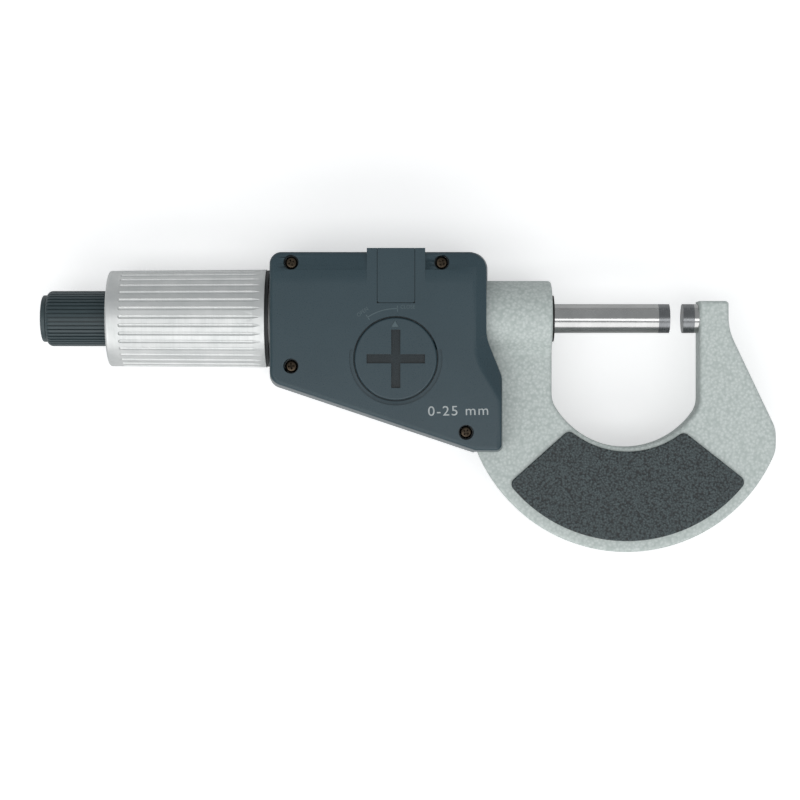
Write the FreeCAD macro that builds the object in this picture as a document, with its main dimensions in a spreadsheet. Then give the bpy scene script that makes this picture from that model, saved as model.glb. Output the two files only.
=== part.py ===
import FreeCAD, Part
import math
import os
import Sketcher

# Digital outside micrometer, 0 to 25 mm, lying on its display side.
# Sketch coordinates: X runs along the spindle towards the anvil, Y points away from the bow,
# Z points out of the rear cover, and zero is the centre of the anvil's measuring face.
# The bodies are then moved together, so that the part's origin is the middle of its base.

os.makedirs("parts", exist_ok=True)
doc = FreeCAD.newDocument("OutsideMicrometer")
sheet = doc.addObject("Spreadsheet::Sheet", "Sizes")

sizeList = [
    # spindle, anvil and their carbide tips
    ("opening", 2.95, "gap between the measuring faces as shown"),
    ("spindleRadius", 3.25, "spindle and anvil"),
    ("tipLength", 2.5, "carbide tips"),
    ("anvilProud", 3.5, "anvil out of the arm"),
    ("anvilSeat", 5.2, "anvil inside the arm"),
    ("threadRadius", 3.4, "feed thread, mean"),
    ("threadStart", 90.0, "feed thread, right end"),
    ("runningGap", 0.03, "spindle in its bore"),
    ("travelOpen", 22.05, "further opening from the shown gap"),
    ("keywayWidth", 1.2, "slot along the spindle"),
    ("keywayDepth", 0.8, "slot along the spindle"),
    ("sealRadius", 5.15, "wiper at the barrel's mouth"),
    ("sealProud", 0.6, "wiper out of the barrel"),
    ("sealSeat", 1.6, "wiper inside the barrel"),
    # frame
    ("plateHalf", 4.0, "half of the frame's thickness"),
    ("throatLeft", 29.3, "throat wall on the spindle side"),
    ("throatX", 12.6, "centre of the throat arc"),
    ("throatY", 10.0, "centre of the throat arc"),
    ("throatRadius", 18.6, "throat arc"),
    ("throatBlend", 5.5, "throat wall into its arc"),
    ("bowX", 12.7, "centre of the outer arc"),
    ("bowY", 16.3, "centre of the outer arc"),
    ("bowRadius", 35.6, "outer arc"),
    ("armTop", 3.8, "arm above the axis"),
    ("armWidth", 6.45, "arm's upper block"),
    ("armDrop", 2.6, "arm's block below the axis"),
    ("armTrim", 2.5, "arm's side inside the outer arc's furthest point"),
    ("kneeStep", 4.85, "straight side of the arm between its corners"),
    ("armBlend", 12.0, "block into the slope"),
    ("kneeBlend", 6.5, "slope into the outer arc"),
    ("plateEdge", 0.8, "edge rounding of the frame"),
    ("barrelRadius", 8.4, "barrel round the spindle"),
    ("barrelLength", 21.5, "barrel to the encoder seat"),
    ("barrelBlend", 2.0, "barrel into the plate"),
    ("barrelEdge", 0.4, "rounding of the barrel's mouth"),
    ("webLeft", 84.0, "plate's end inside the housing"),
    ("webTop", 12.9, "plate's upper edge inside the housing"),
    ("webRight", 47.0, "plate's upper corner inside the housing"),
    ("windowLeft", 57.5, "encoder window"),
    ("slotHalf", 3.6, "slot round the spindle"),
    ("hubLeft", 86.9, "sleeve seat's left end"),
    ("hubRight", 73.0, "sleeve seat's right end"),
    ("hubRadius", 8.6, "sleeve seat"),
    ("sleeveShoulder", 1.0, "stop behind the inner sleeve"),
    # grip plates
    ("gripOuterMargin", 2.5, "frame rim outside the grip"),
    ("gripInnerMargin", 1.0, "frame rim inside the grip"),
    ("gripLowerLeft", 38.8, "grip corner"),
    ("gripUpperLeft", 25.5, "grip corner"),
    ("gripUpperRight", 0.15, "grip corner"),
    ("gripLowerRight", 13.8, "grip corner, right of zero"),
    ("gripCorner", 1.5, "grip corner rounding"),
    ("gripSunk", 0.6, "grip depth in the frame"),
    ("gripProud", 0.6, "grip out of the frame"),
    ("gripEdge", 0.25, "grip edge rounding"),
    # housing
    ("housingLeft", 92.0, "left wall"),
    ("housingTop", 14.8, "upper wall"),
    ("housingRight", 43.4, "right wall"),
    ("housingBulge", 40.0, "right wall of the lower part"),
    ("housingBottom", 29.9, "lower flat"),
    ("bulgeStart", 4.5, "right wall leaves straight"),
    ("bulgeEnd", 13.0, "right wall is straight again"),
    ("slopeLeft", 14.7, "slanted edge at the left wall"),
    ("flatLeft", 46.6, "left end of the lower flat"),
    ("rearDepth", 12.6, "rear cover"),
    ("frontDepth", 12.9, "front cover"),
    ("draft", 3.5, "draft of the side walls, degrees"),
    ("sideWall", 1.5, "side walls"),
    ("rearWall", 1.8, "rear cover's face"),
    ("frontWall", 1.8, "front cover's face"),
    ("endWall", 1.5, "wall round the sleeve"),
    ("coverEdge", 0.9, "rounding round the faces"),
    ("cornerSmall", 2.6, "upper left corner"),
    ("cornerLarge", 3.8, "upper right corner"),
    ("cornerLow", 3.0, "lower left corner"),
    ("cornerFoot", 1.3, "lower right corner"),
    ("bulgeBlend", 10.0, "right wall curves out"),
    ("bulgeRound", 5.0, "right wall curves down"),
    ("footBlend", 2.0, "slanted edge into the flat"),
    ("frameGap", 0.08, "covers round the frame"),
    ("slopeStart", 7.0, "rear face begins to fall"),
    ("slopeRadius", 25.0, "fall of the rear face"),
    ("bossMargin", 2.2, "raised boss beside the port cover"),
    ("bossTop", 14.9, "raised boss out of the upper wall"),
    ("bossEdge", 0.5, "raised boss, rounding"),
    ("wellRadius", 11.2, "round well for the thimble"),
    ("wellDepth", 3.4, "round well for the thimble"),
    # screws of the covers
    ("screwLeft", 86.6, "left pair"),
    ("screwTop", 11.8, "upper pair"),
    ("screwBeside", 3.6, "upper right, from the raised boss"),
    ("screwLowLeft", 10.8, "lower left"),
    ("screwLowX", 48.5, "lower right"),
    ("screwLowY", 25.2, "lower right"),
    ("screwHead", 1.35, "head radius"),
    ("screwHeadDepth", 1.5, "head"),
    ("screwHole", 1.65, "counterbore radius"),
    ("screwSunk", 3.2, "counterbore depth"),
    ("screwRadius", 0.9, "shank"),
    ("screwLength", 17.0, "shank"),
    ("screwClear", 0.15, "shank in the rear cover and frame"),
    ("bossWall", 2.2, "boss radius"),
    # battery, its cover and contacts
    ("batteryX", 63.8, "battery axis"),
    ("batteryY", 9.2, "battery axis"),
    ("batteryRadius", 5.8, "button cell"),
    ("batteryHeight", 5.4, "button cell"),
    ("batteryGap", 0.3, "cell in its chamber"),
    ("chamberWall", 1.3, "wall round the cell"),
    ("chamberFloor", 0.9, "floor under the cell"),
    ("contactThick", 0.25, "battery contacts"),
    ("contactWidth", 1.4, "battery contacts"),
    ("lidRadius", 9.0, "battery cover"),
    ("lidGap", 0.28, "battery cover in its recess"),
    ("lidRim", 1.4, "battery cover's flange"),
    ("lidSunk", 0.15, "battery cover below the face"),
    ("neckRadius", 7.3, "battery cover's neck"),
    ("neckGap", 0.3, "neck in the lip"),
    ("lipThick", 0.9, "lip that the lugs hook under"),
    ("lugReach", 1.1, "lugs out of the neck"),
    ("lugThick", 0.8, "lugs"),
    ("lugWidth", 3.6, "lugs"),
    ("lugGap", 0.1, "lugs under the lip"),
    ("ringSection", 0.35, "sealing ring's radius of section"),
    ("crossWidth", 2.0, "coin slot"),
    ("crossLength", 12.7, "coin slot"),
    ("crossDepth", 1.0, "coin slot"),
    ("thumbWidth", 0.85, "crescent recess round the battery cover"),
    ("thumbDepth", 0.45, "crescent recess"),
    # data port
    ("portCentre", 63.75, "port cover's recess"),
    ("portWidth", 8.3, "port cover's recess"),
    ("portBottom", 2.9, "port cover's recess"),
    ("portThick", 1.2, "port cover"),
    ("portGap", 0.12, "port cover in its recess"),
    ("railReach", 0.5, "side rails of the port cover"),
    ("railThick", 0.5, "side rails of the port cover"),
    ("portMargin", 1.2, "recess wider than the socket"),
    ("socketDepth", 3.2, "port socket"),
    ("pinRadius", 0.3, "port pins"),
    ("pinPitch", 1.27, "port pins"),
    # thimble
    ("thimbleGap", 0.6, "thimble to housing as shown"),
    ("thimbleLength", 34.9, "thimble"),
    ("thimbleRadius", 10.9, "thimble, right end"),
    ("thimbleTaper", 0.25, "thimble, less at the left end"),
    ("thimbleBore", 9.5, "thimble, inside"),
    ("thimbleEnd", 4.5, "thimble's end wall"),
    ("thimbleEdge", 0.5, "left rounding of the thimble"),
    ("fluteCount", 36, "flutes"),
    ("fluteRadius", 0.46, "flute section"),
    ("fluteLift", 0.11, "flute centre above the surface"),
    ("fluteStart", 2.9, "flutes from the left end"),
    ("fluteRunOut", 1.8, "length in which the flutes run out"),
    ("fluteBand", 0.8, "plain band at the right end"),
    ("ringWidth", 0.8, "black ring on the thimble's end"),
    ("ringRadius", 10.75, "black ring"),
    ("bushRadius", 5.0, "bush in the end wall"),
    ("bushLength", 5.6, "bush in the end wall"),
    # sleeve and adjusting nut
    ("outerSleeve", 9.1, "outer sleeve radius"),
    ("innerSleeve", 7.5, "inner sleeve radius"),
    ("innerBore", 5.0, "inner sleeve bore beside the thread"),
    ("nutLength", 15.0, "threaded end of the inner sleeve"),
    ("sleeveEnd", 117.5, "left end of the inner sleeve"),
    ("ringNutRadius", 8.7, "adjusting nut"),
    ("ringNutLength", 3.0, "adjusting nut"),
    # ratchet stop
    ("knobLength", 13.8, "ratchet knob"),
    ("knobGap", 0.2, "knob to thimble"),
    ("knobRadius", 6.15, "ratchet knob"),
    ("knobRound", 1.3, "ratchet knob's shoulder"),
    ("knobBore", 4.0, "ratchet knob, inside"),
    ("ribCount", 43, "ribs of the knob"),
    ("ribDepth", 0.32, "ribs of the knob"),
    ("ribWidth", 0.42, "gaps between the ribs"),
    ("capRadius", 5.2, "knob's end cap"),
    ("capLength", 1.0, "knob's end cap"),
    ("capPlug", 1.6, "end cap inside the knob"),
    ("stemRadius", 2.2, "ratchet stem"),
    ("ratchetRadius", 3.9, "ratchet ring"),
    ("ratchetLength", 1.4, "ratchet ring"),
    ("springRadius", 3.1, "ratchet spring, mean"),
    ("springWire", 0.25, "ratchet spring's wire radius"),
    ("springTurns", 5, "ratchet spring"),
    # encoder
    ("statorRadius", 8.0, "encoder stator and rotor"),
    ("statorThick", 1.2, "encoder stator and rotor"),
    ("encoderGap", 0.4, "between stator and rotor"),
    ("rotorHub", 5.4, "rotor hub radius"),
    ("rotorSlack", 0.3, "rotor hub to the window"),
    ("keyLength", 1.5, "key of the rotor"),
    # display and circuit board
    ("windowX", 85.2, "display window, left"),
    ("windowWidth", 27.4, "display window"),
    ("windowBottom", -2.6, "display window, lower edge"),
    ("windowTall", 12.0, "display window"),
    ("windowThick", 0.85, "display window"),
    ("windowSunk", 0.15, "window below the face"),
    ("windowLedge", 1.0, "ledge round the window"),
    ("glassThick", 1.2, "display glass"),
    ("holderThick", 0.6, "display holder"),
    ("holderWall", 1.0, "display holder"),
    ("boardThick", 0.6, "circuit board"),
    ("boardLeft", 83.6, "circuit board"),
    ("boardRight", 56.4, "circuit board"),
    ("boardTop", 12.6, "circuit board"),
    ("boardBottom", 14.6, "circuit board"),
    ("postRadius", 1.2, "posts under the board"),
    ("postInset", 1.6, "posts from the board's edges"),
    # buttons
    ("buttonX", 80.6, "first button"),
    ("buttonPitch", 8.6, "between the buttons"),
    ("buttonY", 8.4, "buttons below the axis"),
    ("buttonRadius", 2.6, "buttons"),
    ("buttonGap", 0.15, "buttons in their holes"),
    ("buttonFlange", 0.6, "flange out of the button"),
    ("buttonFlangeThick", 0.7, "flange of the button"),
    ("buttonSunk", 0.25, "buttons below the face"),
    ("keypadThick", 0.5, "keypad sheet"),
    # spindle clamp
    ("clampX", 36.8, "clamp axis"),
    ("clampRadius", 1.9, "clamp shaft"),
    ("clampHub", 3.6, "clamp lever hub"),
    ("clampThick", 2.6, "clamp lever"),
    ("clampReach", 10.5, "clamp lever"),
    ("clampTip", 1.7, "clamp lever's end"),
    ("clampSunk", 0.4, "flat on the barrel under the lever"),
    ("clampDrop", 0.45, "lever's arm below its hub"),
    ("clampGap", 0.3, "shaft to spindle, and lever to the flat"),
]
for row, (alias, number, note) in enumerate(sizeList, start=1):
    sheet.set(f"A{row}", note)
    sheet.set(f"B{row}", str(number))
    sheet.setAlias(f"B{row}", alias)
doc.recompute()


class Size:
    """A length that keeps the sheet expression it comes from beside its present value."""

    def __init__(self, text, number):
        self.text = text
        self.number = number

    def join(self, sign, other, number):
        return Size(f"({self.text} {sign} {other.text})", number)

    def __add__(self, other):
        other = asSize(other)
        return self.join("+", other, self.number + other.number)

    def __sub__(self, other):
        other = asSize(other)
        return self.join("-", other, self.number - other.number)

    def __mul__(self, other):
        other = asSize(other)
        return self.join("*", other, self.number * other.number)

    def __truediv__(self, other):
        other = asSize(other)
        return self.join("/", other, self.number / other.number)

    def __neg__(self):
        return Size(f"(0 - {self.text})", -self.number)


def asSize(value):
    return value if isinstance(value, Size) else Size(repr(float(value)), float(value))


def root(value):
    return Size(f"sqrt({value.text})", math.sqrt(value.number))


def larger(one, other):
    return Size(f"max({one.text}; {other.text})", max(one.number, other.number))


class SizeTable:
    """The sheet's cells by name."""

    def __init__(self, rows):
        for alias, number, note in rows:
            setattr(self, alias, Size(f"Sizes.{alias}", float(number)))


s = SizeTable(sizeList)
zero = asSize(0)

# Places along the spindle axis that several pieces share
knobEndX = -(s.housingLeft + s.thimbleGap + s.thimbleLength + s.knobGap + s.knobLength + s.capLength)
thimbleRightX = -(s.housingLeft + s.thimbleGap)
thimbleLeftX = thimbleRightX - s.thimbleLength
knobRightX = thimbleLeftX - s.knobGap
knobLeftX = knobRightX - s.knobLength
barrelLeftX = -(s.throatLeft + s.barrelLength)
wellFloorX = s.wellDepth - s.housingLeft
cavityLeftX = wellFloorX + s.endWall
statorLeftX = barrelLeftX - s.statorThick
rotorRightX = statorLeftX - s.encoderGap
rotorLeftX = rotorRightX - s.statorThick
hubLeftX = s.rotorSlack - s.windowLeft
restZ = -s.frontDepth
portLeftX = -(s.portCentre + s.portWidth / 2)
portRightX = s.portWidth / 2 - s.portCentre
bossLeftX = portLeftX - s.bossMargin
bossRightX = portRightX + s.bossMargin
screwTopRightX = bossRightX + s.screwBeside
clampFlatZ = s.clampSunk - s.barrelRadius
armReach = s.bowRadius - s.bowX - s.armTrim

# The origin is under the middle of the whole instrument, on the plane that it lies on
shiftX = (-knobEndX - armReach) / 2
shiftY = (s.bowY + s.bowRadius - s.bossTop) / 2
shiftZ = s.frontDepth


def vector(x, y, z=0.0):
    return FreeCAD.Vector(x, y, z)


def placed(item, x=zero, y=zero, z=zero):
    for axis, value in (("x", shiftX + x), ("y", shiftY + y), ("z", shiftZ + z)):
        item.setExpression(f".Placement.Base.{axis}", value.text)
    return item


def newBody(label, x=zero, y=zero, z=zero):
    body = doc.addObject("PartDesign::Body", label)
    body.Label = label
    return placed(body, x, y, z)


def newSketch(body, name, role="XY_Plane", offset=None):
    sketch = body.newObject("Sketcher::SketchObject", name)
    plane = [item for item in body.Origin.OriginFeatures if item.Role == role][0]
    sketch.AttachmentSupport = [(plane, "")]
    sketch.MapMode = "FlatFace"
    if offset is not None:
        sketch.setExpression(".AttachmentOffset.Base.z", offset.text)
    return sketch


def bind(sketch, kind, *where, value):
    index = sketch.addConstraint(Sketcher.Constraint(kind, *where, value.number))
    if "Sizes" in value.text:
        sketch.setExpression(f"Constraints[{index}]", value.text)


def pin(sketch, item, point, x, y):
    bind(sketch, "DistanceX", -1, 1, item, point, value=x)
    bind(sketch, "DistanceY", -1, 1, item, point, value=y)


def outline(sketch, points):
    """A closed outline. A point is (x, y), or (x, y, radius, side) where an arc leaves it,
    with its centre on the left of the way for side 1 and on the right for side -1."""
    items = []
    count = len(points)
    for i, point in enumerate(points):
        after = points[(i + 1) % count]
        start = vector(point[0].number, point[1].number)
        end = vector(after[0].number, after[1].number)
        if len(point) == 2:
            items.append(sketch.addGeometry(Part.LineSegment(start, end)))
            continue
        radius, side = point[2].number, point[3]
        chord = end - start
        across = vector(-chord.y, chord.x) * (side / chord.Length)
        rise = math.sqrt(max(radius**2 - (chord.Length / 2) ** 2, 0))
        centre = (start + end) * 0.5 + across * rise
        first = math.atan2(start.y - centre.y, start.x - centre.x)
        last = math.atan2(end.y - centre.y, end.x - centre.x)
        if side < 0:
            first, last = last, first
        circle = Part.Circle(centre, vector(0, 0, 1), radius)
        items.append(sketch.addGeometry(Part.ArcOfCircle(circle, first, last)))
    for i, point in enumerate(points):
        before = points[i - 1]
        leaves = 2 if len(point) == 4 and point[3] < 0 else 1
        arrives = 1 if len(before) == 4 and before[3] < 0 else 2
        sketch.addConstraint(Sketcher.Constraint("Coincident", items[i - 1], arrives, items[i], leaves))
        pin(sketch, items[i], leaves, point[0], point[1])
    for i, point in enumerate(points):
        if len(point) == 4:
            bind(sketch, "Radius", items[i], value=point[2])
    return sketch


def circles(sketch, centres, radius):
    for x, y in centres:
        circle = Part.Circle(vector(x.number, y.number), vector(0, 0, 1), radius.number)
        item = sketch.addGeometry(circle)
        pin(sketch, item, 3, x, y)
        bind(sketch, "Radius", item, value=radius)
    return sketch


def block(left, right, low, high):
    return [(left, low), (right, low), (right, high), (left, high)]


def checkedStep(body, feature, wanted):
    doc.recompute()
    if feature.isValid() and not feature.Shape.isNull() and feature.Shape.isValid():
        body.Tip = feature
        return feature
    raise RuntimeError(f"{body.Label}: {feature.Label} {wanted} {feature.State}")


def volumeOf(feature):
    return feature.Shape.Volume


def pad(body, sketch, length, back=False, middle=False, taper=None):
    feature = body.newObject("PartDesign::Pad", f"Pad{sketch.Name}")
    feature.Profile = sketch
    feature.Length = length.number
    feature.setExpression("Length", length.text)
    feature.Reversed = back
    feature.Midplane = middle
    if taper is not None:
        feature.TaperAngle = taper.number
        feature.setExpression("TaperAngle", taper.text)
    return checkedStep(body, feature, "adds")


def pocket(body, sketch, length=None, back=False, middle=False, taper=None):
    before = volumeOf(body.Tip)
    feature = body.newObject("PartDesign::Pocket", f"Pocket{sketch.Name}")
    feature.Profile = sketch
    if length is None:
        feature.Type = "ThroughAll"
    else:
        feature.Length = length.number
        feature.setExpression("Length", length.text)
    feature.Reversed = back
    feature.Midplane = middle
    if taper is not None:
        feature.TaperAngle = taper.number
        feature.setExpression("TaperAngle", taper.text)
    checkedStep(body, feature, "cuts")
    if volumeOf(feature) > before - 1e-6:
        raise RuntimeError(f"{body.Label}: {feature.Label} cuts nothing")
    return feature


def turn(body, sketch, axis="H_Axis", angle=360.0, middle=False):
    feature = body.newObject("PartDesign::Revolution", f"Turn{sketch.Name}")
    feature.Profile = sketch
    feature.ReferenceAxis = (sketch, [axis])
    feature.Angle = angle
    feature.Midplane = middle
    return checkedStep(body, feature, "turns")


def groove(body, sketch, axis="H_Axis", angle=360.0, middle=False):
    before = volumeOf(body.Tip)
    feature = body.newObject("PartDesign::Groove", f"Groove{sketch.Name}")
    feature.Profile = sketch
    feature.ReferenceAxis = (sketch, [axis])
    feature.Angle = angle
    feature.Midplane = middle
    checkedStep(body, feature, "cuts")
    if volumeOf(feature) > before - 1e-6:
        raise RuntimeError(f"{body.Label}: {feature.Label} cuts nothing")
    return feature


def polar(body, features, count, axis):
    feature = body.newObject("PartDesign::PolarPattern", "Round")
    feature.Originals = features
    line = [item for item in body.Origin.OriginFeatures if item.Role == axis][0]
    feature.Axis = (line, [""])
    feature.Angle = 360
    feature.Occurrences = int(count.number)
    feature.setExpression("Occurrences", count.text)
    return checkedStep(body, feature, "repeats")


def edgesWhere(feature, test):
    """Names of the edges whose middle and ends pass the test."""
    names = []
    for number, edge in enumerate(feature.Shape.Edges, start=1):
        middle = edge.valueAt((edge.FirstParameter + edge.LastParameter) / 2)
        ends = [vertex.Point for vertex in edge.Vertexes]
        if test(middle, ends):
            names.append(f"Edge{number}")
    return names


def roundEdges(body, radius, test, name="Fillet"):
    base = body.Tip
    names = edgesWhere(base, test)
    if not names:
        raise RuntimeError(f"{body.Label}: no edge for {name}")
    feature = body.newObject("PartDesign::Fillet", name)
    feature.Base = (base, names)
    feature.Radius = radius.number
    feature.setExpression("Radius", radius.text)
    return checkedStep(body, feature, "rounds")


def near(one, other, slack=0.02):
    return abs(one - other.number) < slack


def upright(x, y, slack=0.05):
    """Edges that stand on the sketch plane over one corner of an outline."""

    def test(middle, ends):
        low = min(ends, key=lambda point: abs(point.z))
        flat = math.hypot(low.x - x.number, low.y - y.number) < slack
        return len(ends) == 2 and flat and abs(ends[0].z - ends[1].z) > 1.0

    return test


def turned(label, points, **where):
    """A piece turned about the spindle axis, from an outline of (x, radius)."""
    body = newBody(label, **where)
    turn(body, outline(newSketch(body, f"{label}Profile"), points))
    return body



# Frame: plate with the bow, barrel round the spindle, and the carrier inside the housing
slant = (s.housingBottom - s.slopeLeft) / (s.housingLeft - s.flatLeft)
slantStretch = root(slant * slant + 1)


def slantedY(x, inset):
    """Height of the housing's slanted lower edge at x, moved inwards by inset."""
    return inset * slantStretch - s.slopeLeft - slant * (x + s.housingLeft)


armRight = s.anvilProud + s.armWidth
bowReachY = -(s.bowY + root(s.bowRadius * s.bowRadius - (armReach + s.bowX) * (armReach + s.bowX)))
kneeY = bowReachY + s.kneeStep
throatLeftY = -(s.throatY + root(s.throatRadius * s.throatRadius
                                 - (s.throatLeft - s.throatX) * (s.throatLeft - s.throatX)))
throatRightY = -(s.throatY + root(s.throatRadius * s.throatRadius
                                  - (s.anvilProud + s.throatX) * (s.anvilProud + s.throatX)))
webInset = s.sideWall + 0.5
# The outer arc ends where it meets the web's lower edge inside the housing
webLine = slantedY(-s.bowX, webInset) + s.bowY
stretched = slantStretch * slantStretch
meetRun = (webLine * slant - root(stretched * s.bowRadius * s.bowRadius - webLine * webLine)) / stretched
bowEndY = larger(slantedY(meetRun - s.bowX, webInset), webInset - s.housingBottom)
bowEndX = -(s.bowX + root(s.bowRadius * s.bowRadius - (bowEndY + s.bowY) * (bowEndY + s.bowY)))
spindleBore = s.spindleRadius + s.runningGap
windowHalf = s.statorRadius + 0.4
thickness = s.plateHalf * 2
through = s.barrelRadius * 4

frame = newBody("frame")
plate = outline(newSketch(frame, "FramePlate"), [
    (-s.webLeft, slantedY(-s.webLeft, webInset)),
    (bowEndX, bowEndY, s.bowRadius, 1),
    (armReach, bowReachY),
    (armReach, kneeY),
    (armRight, -s.armDrop),
    (armRight, s.armTop),
    (-s.webRight, s.armTop),
    (-s.webRight, s.webTop),
    (-s.webLeft, s.webTop),
])
pad(frame, plate, thickness, middle=True)
roundEdges(frame, s.kneeBlend, upright(armReach, kneeY), "Knee")
roundEdges(frame, s.kneeBlend, upright(armReach, bowReachY), "Bow")
roundEdges(frame, s.armBlend, upright(armRight, -s.armDrop), "Arm")
barrel = outline(newSketch(frame, "Barrel"), [
    (barrelLeftX, zero),
    (-s.throatLeft + 6, zero),
    (-s.throatLeft + 6, s.barrelRadius),
    (barrelLeftX, s.barrelRadius),
])
turn(frame, barrel)
barrelMeetY = -root(s.barrelRadius * s.barrelRadius - s.plateHalf * s.plateHalf)


def besideBarrel(middle, ends):
    return near(middle.y, barrelMeetY) and all(near(abs(end.z), s.plateHalf) for end in ends)


roundEdges(frame, s.barrelBlend, besideBarrel, "BarrelBlend")
throat = outline(newSketch(frame, "Throat"), [
    (-s.throatLeft, throatLeftY, s.throatRadius, 1),
    (s.anvilProud, throatRightY),
    (s.anvilProud, s.barrelRadius + 4),
    (-s.throatLeft, s.barrelRadius + 4),
])
pocket(frame, throat, through, middle=True)
roundEdges(frame, s.throatBlend, upright(-s.throatLeft, throatLeftY), "ThroatLeft")
roundEdges(frame, s.throatBlend, upright(s.anvilProud, throatRightY), "ThroatRight")
roundEdges(frame, s.plateEdge, upright(armRight, s.armTop), "ArmCorner")


def visibleRim(middle, ends):
    flat = all(near(abs(end.z), s.plateHalf) for end in ends) and near(abs(middle.z), s.plateHalf)
    bowSide = middle.x > -s.throatLeft.number - 0.1 or middle.y < -s.bowY.number - 14
    lower = middle.x > bowEndX.number + 0.01
    wall = middle.x < s.anvilProud.number - 0.01 or middle.y < s.armTop.number + 0.1
    return flat and bowSide and lower and wall


roundEdges(frame, s.plateEdge, visibleRim, "Rim")
hub = outline(newSketch(frame, "SleeveSeat"), block(-s.hubLeft, -s.hubRight, zero, s.hubRadius))
turn(frame, hub)
bore = outline(newSketch(frame, "Bore"), [
    (barrelLeftX - 2, zero),
    (-s.throatLeft + 2, zero),
    (-s.throatLeft + 2, s.sealRadius),
    (-s.throatLeft - s.sealSeat, s.sealRadius),
    (-s.throatLeft - s.sealSeat, spindleBore),
    (barrelLeftX - 2, spindleBore),
])
groove(frame, bore)
sleeveBore = outline(newSketch(frame, "SleeveBore"), [
    (-s.hubLeft - 1, zero),
    (-s.hubRight + 1, zero),
    (-s.hubRight + 1, s.slotHalf),
    (-s.hubRight - s.sleeveShoulder, s.slotHalf),
    (-s.hubRight - s.sleeveShoulder, s.innerSleeve),
    (-s.hubLeft - 1, s.innerSleeve),
])
groove(frame, sleeveBore)
window = outline(newSketch(frame, "Window"),
                 block(-s.windowLeft, barrelLeftX, -windowHalf, windowHalf))
pocket(frame, window, through, middle=True)
slot = outline(newSketch(frame, "Slot"),
               block(-s.hubRight, -s.windowLeft + 0.1, -s.slotHalf, s.slotHalf))
pocket(frame, slot, through, middle=True)
notchHalf = s.bossWall + 0.25
notch = outline(newSketch(frame, "ScrewNotch"),
                block(screwTopRightX - notchHalf, screwTopRightX + notchHalf,
                      s.screwTop - notchHalf, s.webTop + 2))
pocket(frame, notch, through, middle=True)
circles(newSketch(frame, "ScrewPass"), [(-s.screwLowX, -s.screwLowY)], s.screwRadius + s.screwClear)
pocket(frame, frame.Group[-1], through, middle=True)
anvilHole = outline(newSketch(frame, "AnvilHole"),
                    block(s.anvilProud - 1, s.anvilProud + s.anvilSeat, zero, s.spindleRadius))
groove(frame, anvilHole)
clampHole = circles(newSketch(frame, "ClampHole", offset=-(s.spindleRadius + s.clampGap)),
                    [(-s.clampX, zero)], s.clampRadius + 0.05)
pocket(frame, clampHole, s.barrelRadius)
clampSeat = circles(newSketch(frame, "ClampSeat", offset=clampFlatZ),
                    [(-s.clampX, zero)], s.clampHub + 0.4)
pocket(frame, clampSeat, s.barrelRadius)

# Grip plates: the same curved pad on both sides, set into the frame
gripOuter = s.bowRadius - s.gripOuterMargin
gripInner = s.throatRadius + s.gripInnerMargin


def onArc(x, centreX, centreY, radius):
    return -(centreY + root(radius * radius - (x + centreX) * (x + centreX)))


def gripOutline(sketch):
    return outline(sketch, [
        (-s.gripLowerLeft, onArc(-s.gripLowerLeft, s.bowX, s.bowY, gripOuter), gripOuter, 1),
        (s.gripLowerRight, onArc(s.gripLowerRight, s.bowX, s.bowY, gripOuter)),
        (-s.gripUpperRight, onArc(-s.gripUpperRight, s.throatX, s.throatY, gripInner), gripInner, -1),
        (-s.gripUpperLeft, onArc(-s.gripUpperLeft, s.throatX, s.throatY, gripInner)),
    ])


gripCorners = [
    (-s.gripLowerLeft, onArc(-s.gripLowerLeft, s.bowX, s.bowY, gripOuter)),
    (s.gripLowerRight, onArc(s.gripLowerRight, s.bowX, s.bowY, gripOuter)),
    (-s.gripUpperRight, onArc(-s.gripUpperRight, s.throatX, s.throatY, gripInner)),
    (-s.gripUpperLeft, onArc(-s.gripUpperLeft, s.throatX, s.throatY, gripInner)),
]
for side, name in ((1, "GripRear"), (-1, "GripFront")):
    floor = s.plateHalf - s.gripSunk
    recess = gripOutline(newSketch(frame, name, offset=floor if side > 0 else -floor))
    pocket(frame, recess, s.gripSunk + 2, back=side > 0)


def atGripCorner(middle, ends):
    upright = abs(ends[0].z - ends[-1].z) > 0.3
    return upright and any(math.hypot(middle.x - x.number, middle.y - y.number) < 0.05
                           for x, y in gripCorners)


roundEdges(frame, s.gripCorner, atGripCorner, "GripCorners")

for side, label in ((1, "rear_grip_plate"), (-1, "front_grip_plate")):
    grip = newBody(label)
    base = s.plateHalf - s.gripSunk
    pad(grip, gripOutline(newSketch(grip, f"{label}Outline", offset=base if side > 0 else -base)),
        s.gripSunk + s.gripProud, back=side < 0)
    roundEdges(grip, s.gripCorner, atGripCorner, "Corners")
    top = (s.plateHalf + s.gripProud) * side

    def topRim(middle, ends):
        return near(middle.z, top) and all(near(end.z, top) for end in ends)

    roundEdges(grip, s.gripEdge, topRim, "Edge")


# Housing: two drafted shells that meet at the middle plane and close round the frame
def coverOutline(sketch):
    return outline(sketch, [
        (-s.housingLeft, -s.slopeLeft),
        (-s.flatLeft, -s.housingBottom),
        (-s.housingBulge, -s.housingBottom),
        (-s.housingBulge, -s.bulgeEnd),
        (-s.housingRight, -s.bulgeStart),
        (-s.housingRight, s.housingTop),
        (-s.housingLeft, s.housingTop),
    ])


def cavityOutline(sketch):
    wall = s.sideWall
    lowY = wall - s.housingBottom
    lowX = (s.housingBottom - s.slopeLeft + wall * slantStretch - wall) / slant - s.housingLeft
    return outline(sketch, [
        (cavityLeftX, slantedY(cavityLeftX, wall)),
        (lowX, lowY),
        (-s.housingBulge - wall, lowY),
        (-s.housingBulge - wall, -s.bulgeEnd),
        (-s.housingRight - wall, -s.bulgeStart),
        (-s.housingRight - wall, s.housingTop - wall),
        (cavityLeftX, s.housingTop - wall),
    ])


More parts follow.
